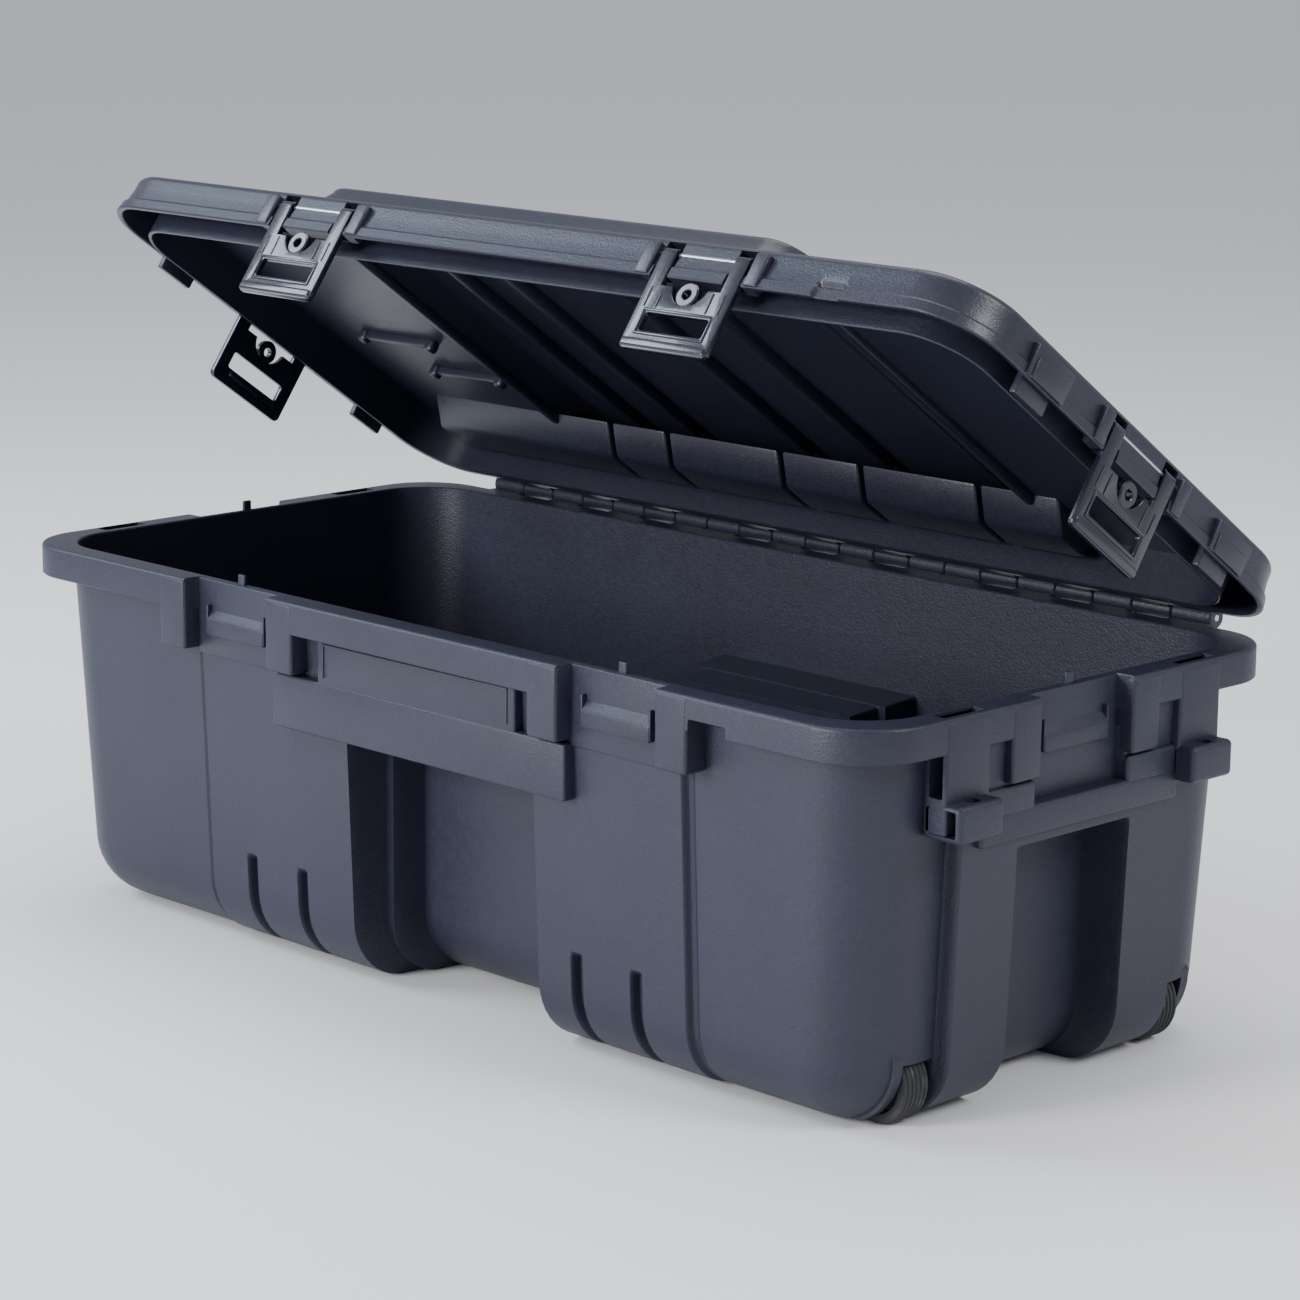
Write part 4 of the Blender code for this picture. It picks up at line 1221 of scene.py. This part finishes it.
@dataclass
class Lid:
    """The lid: a skirted tray with a raised crown, an inner ridge, ribs and nubs."""

    outline: Outline
    shoulder: float = 0.034
    crown: float = 0.0555
    skirt: float = 0.005
    sheet: float = 0.0035
    draft: float = 0.004
    crown_half: tuple[float, float] = (0.258, 0.2065)
    crown_draft: float = 0.005
    crown_corner: float = 0.030
    edge: float = 0.006
    arm_place: float = 0.036
    arm_slot_half: float = 0.0082
    arm_slot_depth: float = 0.0115
    arm_slot_top: float = 0.3284
    boss_half: float = 0.054
    boss_depth: float = 0.014
    rib_places: tuple[float, ...] = (-0.405, -0.1825, -0.115, 0.0135, 0.1005, 0.2225, 0.305)
    crown_ribs: tuple[float, ...] = (-0.250, 0.274)
    short_bars: tuple[Point, ...] = ((-0.385, -0.300, 0.020), (-0.342, -0.260, 0.072))
    segment_drop: float = 0.021
    segment_slant: float = 0.022
    notch_run: tuple[float, float] = (0.337, 0.361)
    ridge_outer: Point = (0.450, 0.204, 0.048)
    ridge_wall: float = 0.003
    round_by: float = 0.0008

    def shell(self) -> Shape:
        """The sheet: rings down from the crown, round the lip and up again inside.

        Returns:
            The closed shell, with the lid shut.
        """
        line = self.outline
        lip, crown_x = line.lip, line.field_shift
        top, shoulder = lip + self.crown, lip + self.shoulder
        low = (self.crown_half[0] + self.crown_draft, self.crown_half[1])
        high = (self.crown_half[0], self.crown_half[1] - self.crown_draft)
        edge = self.edge

        def crown_ring(half: tuple[float, float], inset: float, z: float) -> Ring:
            """A ring of the crown, drawn in by an inset.

            Args:
                half: Half sizes of the crown.
                inset: How far it is drawn in.
                z: Its height.
            Returns:
                The ring.
            """
            corner = max(self.crown_corner - inset, 0.004)
            return Ring(half[0] - inset, half[1] - inset, corner, z, "", crown_x, True)

        foot = 0.002
        rings = [crown_ring(high, inset, top - drop) for inset, drop in arc(edge, 4)]
        rings += [
            crown_ring(low, inset - foot, shoulder + rise) for inset, rise in arc(foot, 3)[::-1]
        ]
        full = (line.half_length, line.half_width, line.corner)
        slim = tuple(size - self.draft for size in full[:2]) + (full[2],)
        rings += [
            Ring(*[size - inset for size in slim], shoulder - drop, "skirt")
            for inset, drop in arc(edge, 5)
        ]
        lines = edge_lines([
            (self.arm_slot_top, 0.0012), (lip + 0.012, 0.004), (lip + 0.009, 0.001),
        ])
        for z in spaced(lines, lip + 0.0012, shoulder - edge, 0.01)[::-1][1:]:
            step = 0.0014 * float(np.clip((z - lip - 0.0085) / 0.001, 0, 1))
            inset = self.draft * (z - lip) / self.shoulder + step
            rings.append(Ring(full[0] - inset, full[1] - inset, full[2], z, "skirt"))
        rings.append(Ring(*[size - 0.0010 for size in full], lip, "skirt"))
        rings.append(Ring(*[size - self.skirt + 0.001 for size in full], lip, "boss"))
        inside = tuple(size - self.skirt for size in full)
        ceiling = shoulder - self.sheet
        for z in np.linspace(lip + 0.001, ceiling - 0.003, 4):
            inset = self.draft * (z - lip) / self.shoulder
            rings.append(Ring(inside[0] - inset, inside[1] - inset, inside[2], z, "boss"))
        drawn = self.draft + 0.003
        rings.append(Ring(inside[0] - drawn, inside[1] - drawn, inside[2] - 0.003, ceiling, "boss"))
        wall = line.wall
        rings += [
            crown_ring(low, wall, ceiling),
            crown_ring(high, wall + 0.001, top - self.sheet - 0.004),
            crown_ring(high, wall + 0.005, top - self.sheet),
        ]
        slots, bosses, long_edges, short_edges = {}, {}, [], []
        for wall_side in Wall:
            spots = [spot.shift for spot in stations(line) if spot.wall is wall_side]
            slots[wall_side.name] = [
                Patch((arm - self.arm_slot_half, arm + self.arm_slot_half), (0, self.arm_slot_top),
                      -self.arm_slot_depth, 0.0012)
                for at in spots for sign in (-1, 1) for arm in [at + sign * self.arm_place]
            ]
            bosses[wall_side.name] = [
                Patch((at - self.boss_half, at + self.boss_half), (0, 1),
                      self.skirt - self.boss_depth, 0.003)
                for at in spots
            ]
            edges = long_edges if wall_side in LONG_WALLS else short_edges
            for at in spots:
                edges += [(at + sign * self.arm_place + side * self.arm_slot_half, 0.0012)
                          for sign in (-1, 1) for side in (-1, 1)]
                edges += [(at + sign * self.boss_half, 0.003) for sign in (-1, 1)]
        slots["front"].append(Patch(self.notch_run, (0, lip + 0.012), -0.0030, 0.004, 0.006))
        long_edges += [(place, 0.004) for place in self.notch_run]
        carrier = RingShell(
            long_lines=spaced(edge_lines(long_edges), -0.42, 0.42, 0.03),
            short_lines=spaced(edge_lines(short_edges), -0.17, 0.17, 0.03),
            corner_steps=14, hold_long=0.37, hold_short=0.12,
            reliefs={"skirt": slots, "boss": bosses},
        )
        return carrier.build(rings)

    def ridge(self) -> Shape:
        """The ring inside the skirt that drops into the tub: a closed loop carried round.

        Returns:
            The ring.
        """
        line = self.outline
        bottom, top = line.rim_top - 0.006, line.lip + self.shoulder - self.sheet / 2
        outer, by = self.ridge_outer, self.round_by
        inner = tuple(size - self.ridge_wall for size in outer)
        rings = [
            Ring(*outer, top), Ring(*outer, bottom + by),
            Ring(*[size - by for size in outer], bottom),
            Ring(*[size + by for size in inner], bottom),
            Ring(*inner, bottom + by), Ring(*inner, top),
        ]
        lines = np.linspace(-0.40, 0.40, 17)
        short = np.linspace(-0.15, 0.15, 9)
        return RingShell(lines, short, 12, 0.1, 0.1, {}).build(rings, closed=True)

    def ribs(self) -> Shape:
        """The ribs under the sheet: front to back, slanted segments at the rear, and short bars.

        Returns:
            The ribs, with the lid shut.
        """
        line = self.outline
        ceiling = line.lip + self.shoulder - self.sheet
        crown_ceiling = line.lip + self.crown - self.sheet
        parts = []

        drop = self.segment_drop

        def slanted(points: Array) -> Array:
            """Draws the front of a segment forward by slant * up, with up from 0 to 1.

            Args:
                points: Points of the segment's block.
            Returns:
                The slanted points.
            """
            drawn = points.copy()
            up = np.clip((points[:, 2] - (ceiling - drop)) / drop, 0, 1)
            drawn[:, 1] -= self.segment_slant * up * (points[:, 1] < 0.172)
            return drawn

        for low, high in zip(self.rib_places, self.rib_places[1:]):
            segment = rounded_box((low + 0.0025, 0.154, ceiling - drop),
                                  (high - 0.0025, 0.190, ceiling + 0.002), 0.003)
            parts.append(segment.moved(slanted))
        for x in self.rib_places[1:-1]:
            under_crown = abs(x - line.field_shift) < self.crown_half[0] - 0.02
            roof = crown_ceiling if under_crown else ceiling
            parts.append(rounded_box((x - 0.006, -0.185, roof - 0.009),
                                     (x + 0.006, 0.165, roof + 0.002), 0.003))
        for x in self.crown_ribs:
            parts.append(rounded_box((x - 0.005, -0.180, ceiling - 0.006),
                                     (x + 0.005, 0.150, ceiling + 0.002), 0.0025))
        for low, high, y in self.short_bars:
            parts.append(rounded_box((low, y - 0.003, ceiling - 0.007),
                                     (high, y + 0.003, ceiling + 0.001), 0.002))
            for x in (low, high):
                parts.append(rounded_box((x - 0.005, y - 0.005, ceiling - 0.010),
                                         (x + 0.005, y + 0.005, ceiling + 0.0012), 0.003))
        return joined(parts)

    def pads(self) -> Shape:
        """Low pads on the skirt: one over each rope lug and one on each side of each latch.

        Returns:
            The pads, with the lid shut.
        """
        line = self.outline
        low, high, back = line.lip + 0.0008, line.lip + 0.027, 0.0045
        lug_pads = [((-half, depth, low), (half, back, line.lip + top))
                    for half, depth, top in ((0.0235, -0.0016, 0.025), (0.0190, -0.0030, 0.016))]
        latch_pads = [((min(side), -0.0013, low), (max(side), back, high))
                      for side in ((-0.0475, -0.0600), (0.0475, 0.0600))]
        parts: list[Shape] = []
        for wall in END_WALLS:
            for sign in (-1, 1):
                parts += wall.row(blocks(lug_pads, 0.0012), line, sign * line.lug_y)
        for spot in stations(line):
            parts += spot.wall.row(blocks(latch_pads, 0.0012), line, spot.shift)
        return joined(parts)

    def nubs(self) -> Shape:
        """Four short blocks under the ends that drop into slots of the rim.

        Returns:
            The nubs.
        """
        line = self.outline
        nub = rounded_box((-0.018, 0.0060, 0.288),
                          (0.018, 0.0124, line.lip + self.shoulder - 0.002), 0.0015)
        return joined([
            wall.placed(nub, line, sign * line.lug_y) for wall in END_WALLS for sign in (-1, 1)
        ])

    def build(self) -> list[bpy.types.Object]:
        """Makes and dresses the lid's pieces, swung open.

        Returns:
            The pieces.
        """
        finish = Finish.lid_charcoal.material()
        line = self.outline
        knuckles = knuckle_row(line, 1, (0.2245, line.lip + 0.0006), 0.3099)
        shell = make_piece("lid_shell", self.shell().moved(line.swing), 32.0)
        pieces = [finish_piece(shell, "lid_body", "lid_charcoal", finish, "lid")]
        for name, shape in (
            ("lid_ridge", self.ridge()), ("lid_ribs", self.ribs()), ("lid_nubs", self.nubs()),
            ("lid_pads", self.pads()), ("lid_hinge_knuckles", knuckles),
        ):
            piece = make_piece(name, shape.moved(line.swing))
            pieces.append(finish_piece(piece, "lid_body", "lid_charcoal", finish))
        return pieces


# --------------------------------------------------------------------------- latches


@dataclass
class Latch:
    """A draw latch: arms with barrels, a plate with a window, an eye, ribs and a grip edge."""

    outline: Outline
    half: float = 0.043
    thickness: float = 0.005
    length: float = 0.078
    top_drop: float = 0.026
    arm: float = 0.014
    barrel: float = 0.0048
    eye: float = 0.010
    eye_bore: float = 0.004
    eye_drop: float = 0.0318
    notch: float = 0.0185
    notch_drop: float = 0.022
    window_half: float = 0.031
    window_height: float = 0.0145
    window_drop: float = 0.056
    pivot_rise: float = 0.020
    pivot_inset: float = 0.0055
    edge: float = 0.0009
    corner_round: float = 0.004
    window_round: float = 0.003
    hook: Box = ((-0.028, -0.0006, -0.0702), (0.028, 0.0035, -0.0652))

    def outlines(self) -> list[Array]:
        """The plate's outline with its arms and round notch, and the window's outline.

        The notch is an arc: (r sin(a), drop - r cos(a)) between the two points where it
        meets the plate's top edge.

        Returns:
            Closed runs of (x, z).
        """
        h, round_by = self.half - self.edge, self.corner_round
        across = math.asin((self.top_drop - self.notch_drop) / self.notch)
        turn = np.linspace(math.pi / 2 - across, -math.pi / 2 + across, 25)
        low_at = -self.notch_drop - self.notch * np.cos(turn)
        notch = np.stack([self.notch * np.sin(turn), low_at], -1)
        bend = np.linspace(0, math.pi / 2, 6)
        low = -self.length + self.edge
        right_corner = np.stack([
            h - round_by + round_by * np.sin(bend), low + round_by - round_by * np.cos(bend)], -1)
        left_corner = right_corner[::-1] * (-1, 1)
        arm = self.half - self.arm + self.edge
        plate = np.concatenate([
            left_corner, right_corner, [(h, 0.0), (arm, 0.0), (arm, -self.top_drop - self.edge)],
            notch - (0, self.edge), [(-arm, -self.top_drop - self.edge), (-arm, 0.0), (-h, 0.0)],
        ])
        w, v = self.window_half + self.edge, self.window_height / 2 + self.edge
        r = self.window_round
        centres = [(w - r, v - r, 0), (-w + r, v - r, 1), (-w + r, -v + r, 2), (w - r, -v + r, 3)]
        window = np.concatenate([
            np.stack([cx + r * np.cos(bend + q * math.pi / 2),
                      cz - self.window_drop + r * np.sin(bend + q * math.pi / 2)], -1)
            for cx, cz, q in centres
        ])
        return [plate, window]

    def plate(self) -> Shape:
        """The plate as a flat curve, filled, thickened and bevelled, then stood upright.

        Returns:
            The plate about the pivot, with Y inward.
        """
        curve = bpy.data.curves.new("latch_plate", "CURVE")
        curve.dimensions, curve.fill_mode = "2D", "BOTH"
        curve.extrude = self.thickness / 2 - self.edge
        curve.bevel_depth, curve.bevel_resolution = self.edge, 2
        for run in self.outlines():
            spline = curve.splines.new("POLY")
            spline.points.add(len(run) - 1)
            flat = np.concatenate([run, np.zeros((len(run), 1)), np.ones((len(run), 1))], axis=1)
            spline.points.foreach_set("co", flat.ravel())
            spline.use_cyclic_u = True
        holder = bpy.data.objects.new("latch_plate", curve)
        bpy.context.scene.collection.objects.link(holder)
        bpy.context.view_layer.update()
        graph = bpy.context.evaluated_depsgraph_get()
        mesh = bpy.data.meshes.new_from_object(holder.evaluated_get(graph))
        bpy.data.objects.remove(holder)
        bpy.data.curves.remove(curve)
        middle = self.thickness / 2
        return read_back(mesh).moved(
            lambda points: np.stack([points[:, 0], -points[:, 2] - middle, points[:, 1]], -1)
        )

    def fittings(self) -> Shape:
        """The barrels, eye, stem, window frame, ribs, grip edge and hook.

        Returns:
            The fittings about the pivot.
        """
        t, h, v = self.thickness, self.half, self.window_height / 2
        frame, face, back, drop = 0.0012, -t - 0.0009, 0.001 - t, self.window_drop
        parts = []
        for sign in (-1, 1):
            near, far = sorted((sign * (h - 0.0002), sign * (h - self.arm)))
            parts.append(bar(self.barrel, (near, 0, 0), (far, 0, 0), 28, 0.0023, 0.0006))
            x = sign * (self.window_half + 0.0022)
            z = sign * (v + 0.0022) - drop
            reach, rise = self.window_half + 0.003, v + 0.003
            parts += blocks([
                ((x - frame, face, -drop - rise), (x + frame, back, -drop + rise)),
                ((-reach, face, z - frame), (reach, back, z + frame)),
            ], 0.0008)
        ring = np.array([
            (self.eye_bore, -0.0002), (self.eye_bore + 0.0007, -0.0008),
            (self.eye - 0.0012, -0.0008),
            (self.eye, 0.0004), (self.eye, t - 0.0010), (self.eye - 0.0008, t - 0.0003),
            (self.eye_bore, t - 0.0003),
        ])
        parts.append(lathe(ring, 40).moved(
            lambda p: np.stack([p[:, 0], p[:, 2] - t, p[:, 1] - self.eye_drop], -1)
        ))
        parts.append(rounded_box((-0.005, -t + 0.0002, -drop + v + 0.0005),
                                 (0.005, -0.0006, -self.eye_drop - self.eye * 0.8), 0.001))
        parts.append(rounded_box((-h + 0.001, -t - 0.0015, -self.length + 0.001),
                                 (h - 0.001, -0.0006, -self.length + 0.0085), 0.0022, 4))
        parts += blocks([
            ((x - 0.0009, -t - 0.0006, -drop + v + 0.004),
             (x + 0.0009, back, -self.top_drop - 0.002))
            for x in (-0.036, -0.0245, 0.0245, 0.036)
        ], 0.0006, 2)
        return joined([*parts, *blocks([self.hook], 0.0008, 2)])

    def build(self) -> list[bpy.types.Object]:
        """Makes and dresses the four latches on the open lid.

        Returns:
            The pieces.
        """
        finish = Finish.latch_gloss.material()
        line = self.outline
        local = joined([self.plate(), self.fittings()])
        raised = np.array((0.0, self.pivot_inset, line.lip + self.pivot_rise))
        pieces = []
        local = local.moved(lambda points: points + raised)
        for spot in stations(line):
            shape = spot.wall.placed(local, line, spot.shift)
            piece = make_piece(f"latch_{spot.name}_formed", shape.moved(line.swing), 30.0)
            node = f"latch_{spot.name}"
            pieces.append(finish_piece(piece, spot.body, "latch_gloss", finish, node))
        return pieces


# --------------------------------------------------------------------------- wheels


@dataclass
class Wheel:
    """A small moulded wheel: a ribbed tyre, a dished disc with spokes, and a hub."""

    x: float = 0.4175
    y: float = 0.139
    radius: float = 0.030
    half: float = 0.013
    bore: float = 0.0043
    tread_half: float = 0.0085
    treads: int = 5
    spokes: int = 5

    def build(self) -> list[bpy.types.Object]:
        """Makes and dresses the two wheels.

        Returns:
            The pieces.
        """
        finish = Finish.wheel_black.material()
        r, h = self.radius, self.half
        tread = []
        for step in np.linspace(-self.tread_half, self.tread_half, self.treads):
            tread += [(r - 0.0009, step - 0.0011), (r, step - 0.0006),
                      (r, step + 0.0006), (r - 0.0009, step + 0.0011)]
        upper = [
            (self.bore, h), (0.0085, h), (0.009, h - 0.0005), (0.0098, h - 0.005),
            (r - 0.0092, h - 0.005), (r - 0.0084, h - 0.001), (r - 0.0076, h), (r - 0.004, h),
            (r - 0.0018, h - 0.0008), (r - 0.0006, h - 0.0024),
        ]
        profile = [(a, -b) for a, b in upper] + tread + [(a, b) for a, b in upper[::-1]]
        disc = lathe(np.array(profile), 64)
        spokes = []
        spoke = rounded_box((0.0088, -0.0014, -h + 0.002), (r - 0.0085, 0.0014, h - 0.002),
                            0.0008, 2)
        for turn in range(self.spokes):
            angle = turn * math.tau / self.spokes
            cos, sin = math.cos(angle), math.sin(angle)
            spokes.append(spoke.moved(lambda p: np.stack(
                [p[:, 0] * cos - p[:, 1] * sin, p[:, 0] * sin + p[:, 1] * cos, p[:, 2]], -1)))
        shape = joined([disc, *spokes])
        pieces = []
        for sign, name, body in ((-1, "front", "front_wheel"), (1, "rear", "rear_wheel")):
            placed = shape.moved(lambda p: np.stack(
                [p[:, 0] + self.x, -p[:, 2] + sign * self.y, p[:, 1] + r], -1))
            piece = make_piece(f"wheel_{name}_formed", placed, 30.0)
            pieces.append(finish_piece(piece, body, "wheel_black", finish, f"wheel_{name}"))
        return pieces


# --------------------------------------------------------------------------- stage


@dataclass(frozen=True)
class Lamp:
    """A square area light that looks at the box."""

    name: str
    place: Point
    power: float
    size: float
    colour: Point = (1.0, 1.0, 1.0)
    aim: Point = (0.0, 0.0, 0.2)

    def build(self) -> None:
        """Adds the light, with its local Z turned away from the point that it looks at."""
        data = bpy.data.lights.new(self.name, "AREA")
        data.energy, data.size, data.color = self.power, self.size, self.colour
        light = bpy.data.objects.new(self.name, data)
        bpy.context.scene.collection.objects.link(light)
        away = np.array(self.place) - self.aim
        third = away / np.linalg.norm(away)
        first = np.cross((0, 0, 1.0), third)
        first /= np.linalg.norm(first)
        columns = [[*column, 0] for column in (first, np.cross(third, first), third)]
        axes = Matrix([*columns, [0, 0, 0, 1]])
        light.matrix_world = Matrix.Translation(self.place) @ axes.transposed()


@dataclass(frozen=True)
class Studio:
    """The pale floor, the soft lights and the camera."""

    camera_place: Point = (2.17300, -2.11145, 0.90527)
    camera_turn: Point = (77.77862, -0.53828, 45.42434)
    lens: float = 109.598
    floor_half: float = 40.0
    floor_colour: Point = (0.88, 0.88, 0.89)
    air_colour: Point = (0.90, 0.93, 1.0)
    air_strength: float = 0.62
    lamps: tuple[Lamp, ...] = (
        Lamp("key", (-0.8, -3.7, 1.4), 150.0, 1.3),
        Lamp("sheen", (-2.2, -1.5, 2.1), 60.0, 1.2, (0.72, 0.84, 1.0)),
        Lamp("fill", (2.9, 0.8, 2.4), 60.0, 1.2),
        Lamp("top", (-0.4, 0.6, 3.0), 45.0, 2.0),
    )

    def build(self) -> None:
        """Sets up the floor, the world, the lights and the camera."""
        corners = [(x * self.floor_half, y * self.floor_half, 0)
                   for x, y in ((-1, -1), (1, -1), (1, 1), (-1, 1))]
        floor = make_piece("studio_floor", Shape(np.array(corners, float), [[0, 1, 2, 3]]))
        board = Board.start("studio_floor")
        board.feed(board.shader, {"Base Color": (*self.floor_colour, 1), "Roughness": 0.7})
        floor.data.materials.append(board.material)
        world = bpy.data.worlds.new("studio")
        world.use_nodes = True
        air = world.node_tree.nodes["Background"]
        air.inputs["Color"].default_value = (*self.air_colour, 1)
        air.inputs["Strength"].default_value = self.air_strength
        bpy.context.scene.world = world
        for lamp in self.lamps:
            lamp.build()
        camera = bpy.data.objects.new("camera", bpy.data.cameras.new("camera"))
        bpy.context.scene.collection.objects.link(camera)
        camera.location = self.camera_place
        camera.rotation_euler = [math.radians(angle) for angle in self.camera_turn]
        camera.data.lens, camera.data.sensor_width = self.lens, 36.0
        bpy.context.scene.camera = camera


def main() -> None:
    """Builds every piece in order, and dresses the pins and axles."""
    logging.basicConfig(level=logging.INFO, format="%(name)s: %(message)s")
    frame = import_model()
    outline = Outline()
    pieces = [
        *Tub(outline).build(), *Lid(outline).build(), *Latch(outline).build(), *Wheel().build()
    ]
    steel = Finish.steel.material()
    for name, node in frame["nodes"].items():
        if "pin" in name or "axle" in name:
            for slot in node.material_slots:
                slot.material = steel
            LOG.info("%s: kept, in steel", name)
    Studio().build()
    LOG.info("%d pieces", len(pieces))


if __name__ == "__main__":
    main()
